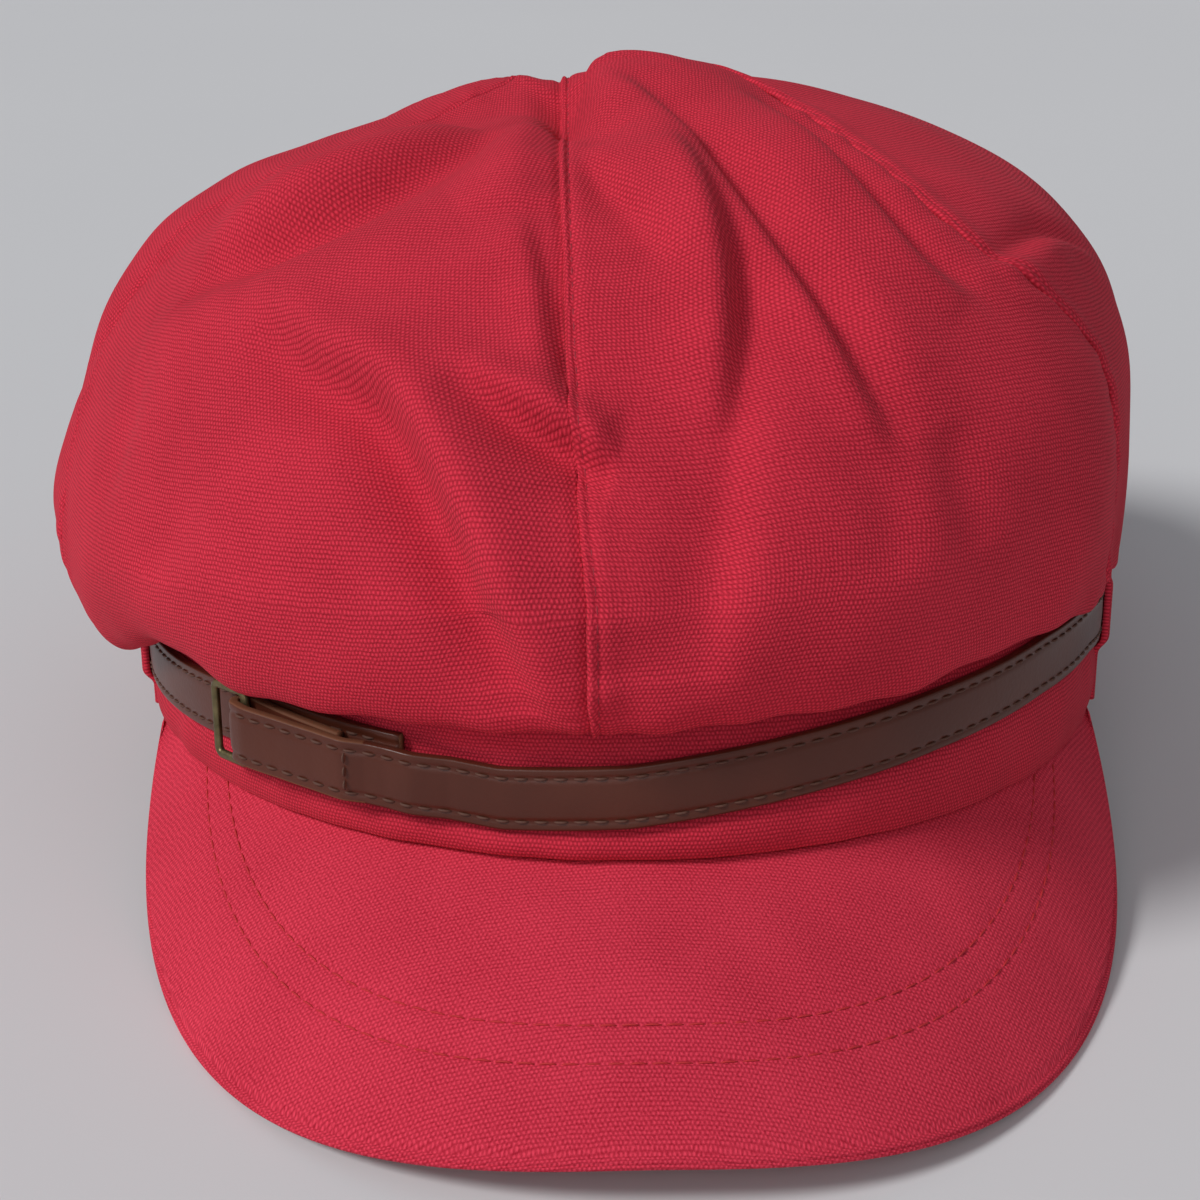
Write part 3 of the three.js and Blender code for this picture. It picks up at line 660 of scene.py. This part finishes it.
def add_stitches(name, rows, material):
    points, faces = [], []
    for row_points, row_faces in rows:
        base = len(points)
        points += row_points
        faces += [tuple(base + k for k in face) for face in row_faces]
    piece = add_mesh(name, np.array(points), faces, materials=[material])
    return piece


SEAM_STITCH_FROM = 0.03
SEAM_STITCH_TO = 0.86
SEAM_STITCH_POINTS = 400
SEAM_STITCH_SHARE = 0.25


def crown_stitches(material):
    rows = []
    down = np.linspace(SEAM_STITCH_FROM, SEAM_STITCH_TO, SEAM_STITCH_POINTS)
    for panel in range(len(SEAMS)):
        start, end = seam_angle(panel, down), seam_angle(panel + 1, down)
        radius, _ = crown_profile(start, down)
        width = (end - start) * RAD * radius
        across = np.minimum(SEAM_STITCH_SHARE, SEAM_STITCH_AT / width)
        line, _, _ = panel_surface(panel, across, down)
        rows.append(stitch_row(line, crown_normal(start, down), *CROWN_THREAD))
    return add_stitches("crown_stitches", rows, material)


# Band


def belt_low(turn):
    turns, lows = np.array(BELT_LINE, float).T
    return BAND_HEIGHT * np.interp(turn, turns, lows)


def band_belt_low(turn):
    """The belt's lower edge at any turn round the whole band."""
    first = BELT_LINE[0][0]
    return belt_low((np.asarray(turn, float) - first) % 360 + first)


# The band's face under the belt bulges, and above it bulges at the front and is hollow elsewhere.
LIP_BULGE = 1.3
LIP_CLEAR = 0.6
LIP_ROUND = 0.7
TOP_BULGE = 2
TOP_HOLLOW = 1.2
TOP_CLEAR = 0.5
TOP_ROUND = 0.8
BULGE_TURN = -21
BULGE_SPREAD = 16
BELT_FADE = 0.8
BAND_TURNS = 720
BAND_ROWS = 44
BAND_EDGE = 0.7
BAND_EDGE_ROWS = 5


def band_off(turn, height):
    """How far the cloth stands off the plain band."""
    low = band_belt_low(turn)
    high = low + BELT_WIDTH
    lip = LIP_BULGE * np.sin(math.pi * clamp(height / np.maximum(low - LIP_CLEAR, 1))) ** LIP_ROUND
    above = clamp((height - high - TOP_CLEAR) / np.maximum(BAND_HEIGHT - high - TOP_CLEAR, 1))
    front = bell(turn - BULGE_TURN, BULGE_SPREAD)
    top = (TOP_BULGE * front - TOP_HOLLOW * (1 - front)) * np.sin(math.pi * above) ** TOP_ROUND
    wave = BAND_RIPPLE * ripples(turn * BAND_PER_DEGREE, height, *BAND_WAVES, BAND_SEED)
    from_belt = np.abs(height - low - BELT_WIDTH / 2) - BELT_WIDTH / 2
    return lip + top + wave * (1 - bell(np.maximum(0, from_belt), BELT_FADE))


def band_cloth(material):
    turns = np.linspace(-180, 180, BAND_TURNS, endpoint=False)
    rise = np.linspace(BAND_EDGE, BAND_HEIGHT, BAND_ROWS)
    roll = np.linspace(-math.pi / 2, 0, BAND_EDGE_ROWS)[:-1]
    heights = np.concatenate([BAND_EDGE + BAND_EDGE * np.sin(roll), rise])
    insets = np.concatenate([BAND_EDGE * (1 - np.cos(roll)), rise * 0])
    turn, height = np.meshgrid(turns, heights, indexing="ij")
    outer = band_point(turn, band_off(turn, height) - insets, height)
    inner = band_point(turn, -BAND_WALL, height)[:, ::-1]
    ring = np.concatenate([outer, inner], axis=1)
    along = turn * BAND_PER_DEGREE
    u = np.concatenate([along, along], axis=1)
    v = np.concatenate([height, height[:, ::-1]], axis=1)
    points, uvs = flat_grid(ring, u, v)
    faces = grid_faces(*ring.shape[:2], wrap_rows=True, wrap_columns=True)
    piece = add_mesh("band_cloth", points, faces, uvs, "band", [material])
    return piece


# Peak

ROOT_UNDER = 1.2
ROOT_GAP = 0.05
VISOR_COLUMNS = 300
VISOR_ROWS = 70
VISOR_INSET = 0.45
EDGE_STEPS = 15
EDGE_GROOVE = 0.3
EDGE_GROOVE_TURN = 12
EDGE_GROOVE_WIDE = 0.16
EDGE_ROUND_FROM = 0.9
ROW_DIP = 0.2
ROW_WIDE = 0.5
ROW_SEAT = 0.9
ROW_SWEEP = 0.8
ROW_POINTS = 900
ROW_CLEAR = 0.01
ROW_UP = (0.0, -0.35, 1.0)
HALVINGS = 24
# Stitch rows on the peak: half width and length ahead of the peak's ends, of a full ellipse.
STITCH_ROWS = [(72.5, 100.5), (69.3, 95.5)]


def visor_top(across, out):
    """Top of the peak: across from -1 to 1 round the brow, out from the band to the edge."""
    turn = across * VISOR_ROOT_TURN
    root = band_point(turn, -ROOT_UNDER, -ROOT_GAP)
    swing = across * math.pi / 2
    power = 2 / VISOR_FULLNESS
    sideways = np.sign(swing) * np.abs(np.sin(swing)) ** power
    length = BAND_HALF_LENGTH + VISOR_REACH - VISOR_ROOT_BACK
    forward = np.maximum(np.cos(swing), 0)
    edge_y = -VISOR_ROOT_BACK - length * forward**power
    slope = math.tan(VISOR_SLOPE * RAD)
    dip = VISOR_DIP * slope * (BAND_HALF_LENGTH - VISOR_ROOT_BACK) * sideways**2
    edge_z = np.minimum(-GAP, slope * (edge_y + BAND_HALF_LENGTH) - dip)
    edge = np.stack([VISOR_HALF_WIDTH * sideways, edge_y, edge_z], -1)
    point = mix(root, edge, np.asarray(out)[..., None])
    point[..., 2] += VISOR_ARCH * np.sin(math.pi * out) * forward
    return point


def stitch_out(across, half_width, length):
    """Share out from the band where a stitch row crosses, found by halving."""
    low, high = np.zeros(np.shape(across)), np.ones(np.shape(across))
    for _ in range(HALVINGS):
        half = (low + high) / 2
        point = visor_top(across, half)
        ahead = np.maximum(-point[..., 1] - VISOR_ROOT_BACK, 0) / length
        full = np.abs(point[..., 0] / half_width) ** VISOR_FULLNESS + ahead**VISOR_FULLNESS
        low, high = np.where(full < 1, half, low), np.where(full < 1, high, half)
    return (low + high) / 2


def visor_cloth(material):
    across_line = VISOR_END * np.sin(np.linspace(-math.pi / 2, math.pi / 2, VISOR_COLUMNS))
    share = np.linspace(0, 1, VISOR_ROWS)
    across, out = np.meshgrid(across_line, share, indexing="ij")
    span = visor_top(across, np.ones(out.shape)) - visor_top(across, np.zeros(out.shape))
    run = np.linalg.norm(span[..., :2], axis=-1)
    thick = VISOR_THICK * mix(VISOR_END_THICK, 1, np.sqrt(np.cos(across * math.pi / 2)))
    inset = np.minimum(VISOR_INSET, thick / 2 / np.maximum(run, 1))
    out = out * (1 - inset)
    top = visor_top(across, out)
    wave = PEAK_RIPPLE * ripples(top[..., 0], top[..., 1], *PEAK_WAVES, PEAK_SEED)
    dent = sum(bell((out - stitch_out(across, *row)) * run, ROW_WIDE) for row in STITCH_ROWS)
    top[..., 2] += wave - ROW_DIP * dent
    rim = visor_top(across_line, np.ones(VISOR_COLUMNS))
    ahead = np.gradient(rim, axis=0)
    outward = np.stack([ahead[:, 1], -ahead[:, 0]], -1)
    outward /= np.linalg.norm(outward, axis=1, keepdims=True)
    half = thick[:, :1] * (1 - VISOR_EDGE_ROUND) / 2
    angles = np.linspace(90, -90, EDGE_STEPS)[None, 1:-1] * RAD
    swell = half - EDGE_GROOVE * bell(angles - EDGE_GROOVE_TURN * RAD, EDGE_GROOVE_WIDE)
    reach = swell * np.cos(angles) - half
    lip = np.empty((VISOR_COLUMNS, angles.shape[1], 3))
    lip[..., :2] = rim[:, None, :2] + outward[:, None] * reach[..., None]
    lip[..., 2] = rim[:, None, 2] - half + swell * np.sin(angles)
    bottom = visor_top(across, out)[:, ::-1]
    rounding = smooth(clamp((share[::-1] - EDGE_ROUND_FROM) / (1 - EDGE_ROUND_FROM)))
    bottom[..., 2] -= thick * (1 - VISOR_EDGE_ROUND * rounding)
    ring = np.concatenate([top, lip, bottom], axis=1)
    fall = np.concatenate([np.zeros(thick.shape), lip[..., 2] - rim[:, None, 2], -thick], axis=1)
    v = ring[..., 1] / math.cos(VISOR_SLOPE * RAD) + fall
    points, uvs = flat_grid(ring, ring[..., 0], v)
    piece = add_mesh("visor_cloth", points, tube_faces(*ring.shape[:2]), uvs, "visor", [material])
    return piece


def visor_stitches(material):
    rows = []
    for row in STITCH_ROWS:
        across = np.linspace(-ROW_SWEEP, ROW_SWEEP, ROW_POINTS)
        out = stitch_out(across, *row)
        clear = out > ROW_CLEAR
        line = visor_top(across[clear], out[clear])
        line[:, 2] -= ROW_DIP * ROW_SEAT
        rows.append(stitch_row(line, np.tile(ROW_UP, (len(line), 1)), *PEAK_THREAD))
    return add_stitches("visor_stitches", rows, material)


# Belt


def layer_off(layer):
    """Distance off the band of the middle of a layer of leather."""
    return GAP + LEATHER / 2 + layer * (LEATHER + GAP)


# Steps along the belt: fine near the buckle, coarse round the rest of the band.
FINE_RUN = 60
FINE_STEP = 0.35
COARSE_STEP = 1.2
BELT_SOFTENING = 3


def belt_stations():
    """Turn and distance off the band, along the belt, on a smooth line through its path."""
    table = np.array(BELT_PATH, float)
    turn = BUCKLE_TURN + table[:, 0] + table[:, 1] * FOLD_NOSE / BAND_PER_DEGREE
    off = layer_off(table[:, 2]) + table[:, 3] * BAR_CLIMB
    x = turn * BAND_PER_DEGREE
    run = np.concatenate([[0], np.cumsum(np.hypot(np.diff(x), np.diff(off)))])
    near, far = np.arange(0, FINE_RUN, FINE_STEP), np.arange(FINE_RUN, run[-1], COARSE_STEP)
    fine = np.unique(np.concatenate([near, far, run[-1:]]))
    turns, offs = np.interp(fine, run, turn), np.interp(fine, run, off)
    for _ in range(BELT_SOFTENING):
        turns[1:-1] = (turns[:-2] + 2 * turns[1:-1] + turns[2:]) / 4
        offs[1:-1] = (offs[:-2] + 2 * offs[1:-1] + offs[2:]) / 4
    return turns, offs, fine


BELT_EDGE = 0.35
BELT_ROWS = [1.4, BELT_WIDTH - 1.5]
BELT_DENT = 0.22
BELT_DENT_WIDE = 0.35
BELT_SWELL = 0.12
BELT_CORNER_STEPS = 4
BELT_FACE_STEPS = 25


def belt_section():
    """Outline of the strap's section: distance out from its middle, and height from its edge."""
    half = LEATHER / 2
    corners = [(1, 1, 0), (-1, 1, 90), (-1, -1, 180), (1, -1, 270)]
    outline = []
    for out_sign, up_sign, start in corners:
        centre_out = out_sign * (half - BELT_EDGE)
        centre_up = BELT_WIDTH / 2 + up_sign * (BELT_WIDTH / 2 - BELT_EDGE)
        for turn in np.linspace(start, start + 90, BELT_CORNER_STEPS) * RAD:
            out = centre_out + BELT_EDGE * math.cos(turn)
            up = centre_up + BELT_EDGE * math.sin(turn)
            outline.append((out, up))
    heights = np.linspace(BELT_EDGE, BELT_WIDTH - BELT_EDGE, BELT_FACE_STEPS)[1:-1]
    rows = np.array(BELT_ROWS)[:, None]
    dents = BELT_DENT * bell(heights - rows, BELT_DENT_WIDE).sum(axis=0)
    swell = BELT_SWELL * np.sin(math.pi * clamp((heights - rows[0]) / (rows[1] - rows[0])))
    return np.array([*zip(half - dents + swell, heights), *outline])


# The cut edges are raw from the belt's start to here along it, and its ends are raw too.
RAW_RUN = 46
RAW_RIM = 0.8


def belt_leather(leather, raw_edge):
    turns, offs, run = belt_stations()
    section = belt_section()
    middle = band_point(turns, offs, 0)
    along = np.gradient(middle, axis=0)
    along /= np.linalg.norm(along, axis=1, keepdims=True)
    side = np.stack([along[:, 1], -along[:, 0], 0 * along[:, 0]], -1)
    low = belt_low(turns)
    ring = middle[:, None] + side[:, None] * section[None, :, :1]
    ring[..., 2] = low[:, None] + section[None, :, 1]
    sides = len(section)
    u = np.repeat(run[:, None], sides, axis=1)
    v = np.repeat(section[None, :, 1], len(run), axis=0)
    points, uvs = flat_grid(ring, u, v)
    faces = tube_faces(len(run), sides)
    rim = np.abs(section[:, 1] - BELT_WIDTH / 2) > BELT_WIDTH / 2 - BELT_EDGE * RAW_RIM
    rough = run < RAW_RUN
    raw = [int(len(face) > 4 or (rough[face[0] // sides] and rim[face[0] % sides])) for face in faces]
    piece = add_mesh("belt_leather", points, faces, uvs, "belt", [leather, raw_edge], raw)
    return piece


BELT_STITCH_FROM = 24
BELT_STITCH_STOP = 2
# The row across the folded end: turn from the bar, distance in from both edges, points and rise.
CROSS_TURN = 12.5
CROSS_LOW = 2
CROSS_HIGH = 1.6
CROSS_POINTS = 12
CROSS_RISE = 0.2


def belt_stitches(material):
    turns, offs, run = belt_stations()
    rows = []
    outer = (run > BELT_STITCH_FROM) & (run < run[-1] - BELT_STITCH_STOP)
    for height in BELT_ROWS:
        line = band_point(turns[outer], offs[outer] + LEATHER / 2 - BELT_DENT / 2, 0)
        line[:, 2] = belt_low(turns[outer]) + height
        up = band_point(turns[outer], 1, 0) - band_point(turns[outer], 0, 0)
        rows.append(stitch_row(line, up, *BELT_THREAD))
    cross_turn = BUCKLE_TURN + CROSS_TURN
    heights = np.linspace(CROSS_LOW, BELT_WIDTH - CROSS_HIGH, CROSS_POINTS)
    off = layer_off(2) + LEATHER / 2 + CROSS_RISE
    line = np.tile(band_point(cross_turn, off, 0), (CROSS_POINTS, 1))
    line[:, 2] = belt_low(cross_turn) + heights
    up = band_point(cross_turn, 1, 0) - band_point(cross_turn, 0, 0)
    rows.append(stitch_row(line, np.tile(up, (CROSS_POINTS, 1)), *CROSS_THREAD))
    return add_stitches("belt_stitches", rows, material)


# Buckle


BUCKLE_CORNER = 1.1
BUCKLE_CORNER_STEPS = 7
WIRE_SIDES = 10


def buckle(material):
    """A flat wire ring with round corners, swept along its rectangle."""
    wide, deep = BUCKLE_RAIL / 2, BUCKLE_WIRE / 2
    belt_edge = float(belt_low(BUCKLE_TURN)) - GAP
    bar_edge = (BUCKLE_TURN + deep / BAND_PER_DEGREE) * BAND_PER_DEGREE
    left, right = bar_edge - BUCKLE_LENGTH + wide, bar_edge - wide
    low, high = belt_edge - wide, belt_edge + BELT_WIDTH + 2 * GAP + wide
    corners = [
        (left, low, 1, 1, 180),
        (right, low, -1, 1, 270),
        (right, high, -1, -1, 0),
        (left, high, 1, -1, 90),
    ]
    path, normals = [], []
    for x, z, inward, upward, start in corners:
        centre_x = x + BUCKLE_CORNER * inward
        centre_z = z + BUCKLE_CORNER * upward
        for turn in np.linspace(start, start + 90, BUCKLE_CORNER_STEPS) * RAD:
            normal = (math.cos(turn), math.sin(turn))
            path.append((centre_x + BUCKLE_CORNER * normal[0], centre_z + BUCKLE_CORNER * normal[1]))
            normals.append(normal)
    path, normals = np.array(path), np.array(normals)
    turns = np.linspace(0, 2 * math.pi, WIRE_SIDES, endpoint=False)
    sweep = wide * np.cos(turns)[None, :]
    x = path[:, :1] + normals[:, :1] * sweep
    z = path[:, 1:] + normals[:, 1:] * sweep
    off = layer_off(1) + BAR_CLIMB / 2 + deep * np.sin(turns)[None, :] + 0 * x
    ring = band_point(x / BAND_PER_DEGREE, off, z)
    faces = grid_faces(*ring.shape[:2], wrap_rows=True, wrap_columns=True)
    piece = add_mesh("buckle_frame_brass", ring.reshape(-1, 3), faces, None, "buckle_frame", [material])
    return piece


# Cloth loops

LOOPS = [("belt_loop_right", 75), ("belt_loop_left", 283)]
LOOP_ROWS = 60
LOOP_COLUMNS = 40
LOOP_LEAN = 0.55
LOOP_SOFTENING = 4
# Form along a loop's long edges: height, distance in from the edge, and spread.
LOOP_FORM = [(0.18, 1.2, 0.7), (-0.18, 2.2, 0.3), (-0.24, 0, 0.35)]


def loop_cloth(name, turn, material):
    half = LOOP_WIDTH / 2 / BAND_PER_DEGREE
    ends = band_belt_low(np.array([turn - half, turn + half]))
    low, top = ends.min(), ends.max() + BELT_WIDTH
    flat = GAP + LOOP_CLOTH / 2
    raised = layer_off(0) + LEATHER / 2 + GAP + LOOP_CLOTH / 2
    knots = [
        (2 * GAP, flat),
        (low - LOOP_SEWN, flat),
        (low - LOOP_RISE, mix(flat, raised, LOOP_LEAN)),
        (low - LOOP_CLEAR, raised),
        (top + LOOP_CLEAR, raised),
        (top + LOOP_RISE, mix(flat, raised, LOOP_LEAN)),
        (top + LOOP_SEWN, flat),
    ]
    knot_heights, knot_offs = np.array(knots).T
    heights = np.linspace(knot_heights[0], knot_heights[-1], LOOP_ROWS)
    offs = np.interp(heights, knot_heights, knot_offs)
    for _ in range(LOOP_SOFTENING):
        offs[1:-1] = (offs[:-2] + offs[1:-1] + offs[2:]) / 3
    share = np.linspace(0, 1, LOOP_COLUMNS)
    height, across = np.meshgrid(heights, share, indexing="ij")
    edges = np.minimum(across, 1 - across) * LOOP_WIDTH
    form = sum(high * bell(edges - place, wide) for high, place, wide in LOOP_FORM)
    turns = turn + mix(-half, half, across)
    outer = band_point(turns, offs[:, None] + LOOP_CLOTH / 2 + form, height)
    inner = band_point(turns, offs[:, None] - LOOP_CLOTH / 2, height)[:, ::-1]
    ring = np.concatenate([outer, inner], axis=1)
    u = np.concatenate([across, across[:, ::-1]], axis=1) * LOOP_WIDTH
    v = np.concatenate([height, height], axis=1)
    points, uvs = flat_grid(ring, v, u)
    piece = add_mesh(f"{name}_cloth", points, tube_faces(*ring.shape[:2]), uvs, name, [material])
    return piece


# Materials


class Nodes:
    """A short way to write a material's node tree."""

    def __init__(self, name):
        self.material = bpy.data.materials.new(name)
        self.material.use_nodes = True
        self.tree = self.material.node_tree
        self.shader = self.tree.nodes["Principled BSDF"]

    def add(self, kind, **inputs):
        node = self.tree.nodes.new(kind)
        for name, value in inputs.items():
            self.put(node.inputs[name.replace("_", " ")], value)
        return node

    def put(self, socket, value):
        if isinstance(value, bpy.types.NodeSocket):
            self.tree.links.new(value, socket)
        else:
            socket.default_value = value

    def math(self, operation, *values, clamped=False):
        node = self.tree.nodes.new("ShaderNodeMath")
        node.operation = operation
        node.use_clamp = clamped
        for socket, value in zip(node.inputs, values):
            self.put(socket, value)
        return node.outputs[0]

    def blend(self, share, start, end):
        node = self.tree.nodes.new("ShaderNodeMix")
        node.data_type = "RGBA"
        self.put(node.inputs[0], share)
        self.put(node.inputs[6], start)
        self.put(node.inputs[7], end)
        return node.outputs[2]

    def noise(self, vector, scale, detail=2.0, roughness=0.5):
        node = self.add("ShaderNodeTexNoise", Vector=vector, Scale=scale, Detail=detail, Roughness=roughness)
        return node.outputs[0]

    def surface(self, **inputs):
        for name, value in inputs.items():
            self.put(self.shader.inputs[name.replace("_", " ")], value)

    def bump(self, height, depth, strength):
        bump = self.add("ShaderNodeBump", Height=height, Distance=depth, Strength=strength)
        self.surface(Normal=bump.outputs[0])


# The weave: yarn pitches and drift in millimetres, share of the crossings against the ribs, how
# uneven the yarn is, and how far slow clouds shift its colour.
WEAVE_ACROSS = 0.31
WEAVE_DOWN = 0.64
WEAVE_DRIFT = 0.5
WEAVE_CROSSINGS = 0.6
WEAVE_SLUB = 1.5
WEAVE_CLOUD = 0.35
SHEEN_TINT = (1.0, 0.45, 0.5, 1)


def cloth_material(name, deep, lit, relief, slub=0.6):
    """Plain weave canvas, from the sheet's own coordinates in millimetres; its colour paints shade into the
    weave's gaps and light onto the yarn's tops.
    """
    nodes = Nodes(name)
    layer = nodes.add("ShaderNodeUVMap")
    layer.uv_map = "cloth"
    uv = layer.outputs[0]
    split = nodes.add("ShaderNodeSeparateXYZ", Vector=uv)
    drift = nodes.math("SUBTRACT", nodes.noise(uv, scale=0.35), 0.5)
    shift = nodes.math("MULTIPLY", drift, WEAVE_DRIFT)
    across = nodes.math("ADD", split.outputs[0], shift)
    down = nodes.math("ADD", split.outputs[1], shift)
    warp = nodes.math("COSINE", nodes.math("MULTIPLY", across, math.pi / WEAVE_ACROSS))
    weft = nodes.math("COSINE", nodes.math("MULTIPLY", down, math.pi / WEAVE_DOWN))
    cross = nodes.math("MULTIPLY_ADD", nodes.math("MULTIPLY", warp, weft), 0.5, 0.5)
    rib = nodes.math("ABSOLUTE", weft)
    ribs = nodes.math("MULTIPLY", rib, 1 - WEAVE_CROSSINGS)
    weave = nodes.math("MULTIPLY_ADD", cross, WEAVE_CROSSINGS, ribs)
    fine = nodes.noise(uv, scale=2.4, detail=3, roughness=0.7)
    uneven = nodes.math("MULTIPLY_ADD", fine, WEAVE_SLUB, -WEAVE_SLUB / 2)
    height = nodes.math("MULTIPLY_ADD", uneven, slub, weave)
    cloud = nodes.math("SUBTRACT", nodes.noise(uv, scale=0.05, detail=3), 0.5)
    # The colour runs by the weave's height from deep, painted shade in the gaps between the yarns, to lit,
    # painted light on the yarn's tops; the slub and the slow clouds add the yarn's own uneven tone.
    painted_shade_and_tone = nodes.math("MULTIPLY_ADD", cloud, WEAVE_CLOUD, height, clamped=True)
    nodes.surface(Base_Color=nodes.blend(painted_shade_and_tone, (*deep, 1), (*lit, 1)), Roughness=0.88)
    nodes.surface(Specular_IOR_Level=0.12, Sheen_Weight=0.05, Sheen_Roughness=0.45, Sheen_Tint=SHEEN_TINT)
    nodes.bump(height, depth=relief, strength=0.9)
    return nodes.material


THREAD_SHADE = 0.6


def thread_material(name, color):
    nodes = Nodes(name)
    place = nodes.add("ShaderNodeTexCoord").outputs["Object"]
    grain = nodes.noise(place, scale=2500)
    dark = tuple(channel * THREAD_SHADE for channel in color)
    nodes.surface(Base_Color=nodes.blend(grain, (*dark, 1), (*color, 1)), Roughness=0.75)
    nodes.bump(grain, depth=0.00005, strength=0.5)
    return nodes.material


PORE_SHARE = 0.5
GLOSS_SPREAD = 0.2


def leather_material(name, dark, light, roughness):
    nodes = Nodes(name)
    place = nodes.add("ShaderNodeTexCoord").outputs["Object"]
    pores = nodes.add("ShaderNodeTexVoronoi", Vector=place, Scale=1500.0).outputs["Distance"]
    grain = nodes.noise(place, scale=900, detail=4, roughness=0.6)
    patches = nodes.noise(place, scale=70, detail=3)
    height = nodes.math("MULTIPLY_ADD", pores, PORE_SHARE, grain)
    color = nodes.blend(patches, (*dark, 1), (*light, 1))
    gloss = nodes.math("MULTIPLY_ADD", patches, GLOSS_SPREAD, roughness - GLOSS_SPREAD / 2)
    nodes.surface(Base_Color=color, Roughness=gloss, Specular_IOR_Level=0.36)
    nodes.bump(height, depth=0.00006, strength=0.5)
    return nodes.material


BRASS_DARK = (0.05, 0.042, 0.02, 1)
BRASS_LIGHT = (0.3, 0.24, 0.12, 1)
BRASS_ROUGH = 0.3


def brass_material():
    nodes = Nodes("antique brass")
    place = nodes.add("ShaderNodeTexCoord").outputs["Object"]
    tarnish = nodes.noise(place, scale=400, detail=4, roughness=0.6)
    gloss = nodes.math("MULTIPLY_ADD", tarnish, BRASS_ROUGH, BRASS_ROUGH)
    nodes.surface(Base_Color=nodes.blend(tarnish, BRASS_DARK, BRASS_LIGHT), Roughness=gloss, Metallic=0.9)
    nodes.bump(tarnish, depth=0.00004, strength=0.3)
    return nodes.material


FLOOR_DARK = (0.66, 0.66, 0.675, 1)
FLOOR_LIGHT = (0.7, 0.7, 0.71, 1)


def floor_material():
    nodes = Nodes("pale floor")
    place = nodes.add("ShaderNodeTexCoord").outputs["Object"]
    cloud = nodes.noise(place, scale=1.5)
    nodes.surface(Base_Color=nodes.blend(cloud, FLOOR_DARK, FLOOR_LIGHT), Roughness=0.8)
    return nodes.material


# Camera, light and floor

VIEW_SIZE = 1200
FOCAL_PIXELS = 1800
AXIS_PIXEL = 622
SENSOR = 36
CAMERA_DROP = 16.2
CAMERA_TURN = -1.3
CAMERA_PLACE = (0, -335.7, 109.1)
CLIP_START = 0.01
# Lights: name, direction they come from, spread in degrees, and power.
LIGHTS = [
    ("key", (-1.3, -0.55, 1.3), 16, 2.05),
    ("front", (-0.4, -1.5, 0.9), 40, 0.5),
    ("right", (1.2, -0.9, 1.2), 50, 0.12),
]
SKY_COLOR = (0.9, 0.93, 1, 1)
SKY_POWER = 0.22
FLOOR_HALF = 4.0


def add_camera():
    data = bpy.data.cameras.new("view")
    data.sensor_width = SENSOR
    data.lens = SENSOR * FOCAL_PIXELS / VIEW_SIZE
    data.shift_x = (VIEW_SIZE / 2 - AXIS_PIXEL) / VIEW_SIZE
    data.clip_start = CLIP_START
    camera = bpy.data.objects.new("view", data)
    x, y, z = CAMERA_PLACE
    turn = CAMERA_TURN * RAD
    place = (x * math.cos(turn) - y * math.sin(turn), x * math.sin(turn) + y * math.cos(turn), z)
    camera.location = world(np.array(place)).tolist()
    camera.rotation_euler = (math.pi / 2 - CAMERA_DROP * RAD - PITCH, 0, turn)
    bpy.context.scene.collection.objects.link(camera)
    bpy.context.scene.camera = camera


def add_sun(name, toward, spread, power):
    """A distant soft light that comes from the given direction."""
    data = bpy.data.lights.new(name, "SUN")
    data.angle = spread * RAD
    data.energy = power
    light = bpy.data.objects.new(name, data)
    x, y, z = toward
    light.rotation_euler = (math.atan2(math.hypot(x, y), z), 0, math.atan2(x, -y))
    light.location = toward
    bpy.context.scene.collection.objects.link(light)


def add_studio():
    for light in LIGHTS:
        add_sun(*light)
    scene = bpy.context.scene
    scene.world = bpy.data.worlds.new("studio")
    scene.world.use_nodes = True
    background = scene.world.node_tree.nodes["Background"]
    background.inputs[0].default_value = SKY_COLOR
    background.inputs[1].default_value = SKY_POWER
    scene.view_settings.view_transform = "Standard"
    mesh = bpy.data.meshes.new("floor")
    signs = [(-1, -1), (1, -1), (1, 1), (-1, 1)]
    mesh.from_pydata([(x * FLOOR_HALF, y * FLOOR_HALF, 0) for x, y in signs], [], [(0, 1, 2, 3)])
    mesh.materials.append(floor_material())
    floor = bpy.data.objects.new("floor", mesh)
    scene.collection.objects.link(floor)


def build():
    # In each canvas, deep is the painted shade in the weave's gaps and lit the painted light on the yarn's
    # tops.
    canvas = cloth_material(
        "red canvas",
        deep=(0.2, 0.003, 0.009),
        lit=(0.82, 0.043, 0.081),
        relief=0.00016,
    )
    # The band and its loops take a darker copy of the crown's canvas, which is painted shade.
    shaded = cloth_material(
        "red canvas of the band with painted shade",
        deep=(0.19, 0.003, 0.009),
        lit=(0.77, 0.04, 0.076),
        relief=0.00014,
    )
    peak = cloth_material(
        "red canvas of the peak",
        deep=(0.33, 0.006, 0.02),
        lit=(0.83, 0.058, 0.105),
        relief=0.0001,
        slub=1.0,
    )
    red_thread = thread_material("red thread", color=(0.42, 0.02, 0.04))
    pale_thread = thread_material("pale red thread", color=(0.62, 0.024, 0.03))
    brown_thread = thread_material("brown thread", color=(0.12, 0.048, 0.03))
    leather = leather_material(
        "brown leather",
        dark=(0.062, 0.0135, 0.0065),
        light=(0.11, 0.027, 0.0135),
        roughness=0.37,
    )
    raw_edge = leather_material(
        "raw leather edge",
        dark=(0.1, 0.032, 0.014),
        light=(0.2, 0.075, 0.032),
        roughness=0.75,
    )
    crown_panels(canvas)
    crown_stitches(red_thread)
    band_cloth(shaded)
    visor_cloth(peak)
    visor_stitches(pale_thread)
    belt_leather(leather, raw_edge)
    belt_stitches(brown_thread)
    buckle(brass_material())
    # The loops take the band's darker canvas, with its painted shade.
    for name, turn in LOOPS:
        loop_cloth(name, turn, shaded)


add_camera()
add_studio()
build()
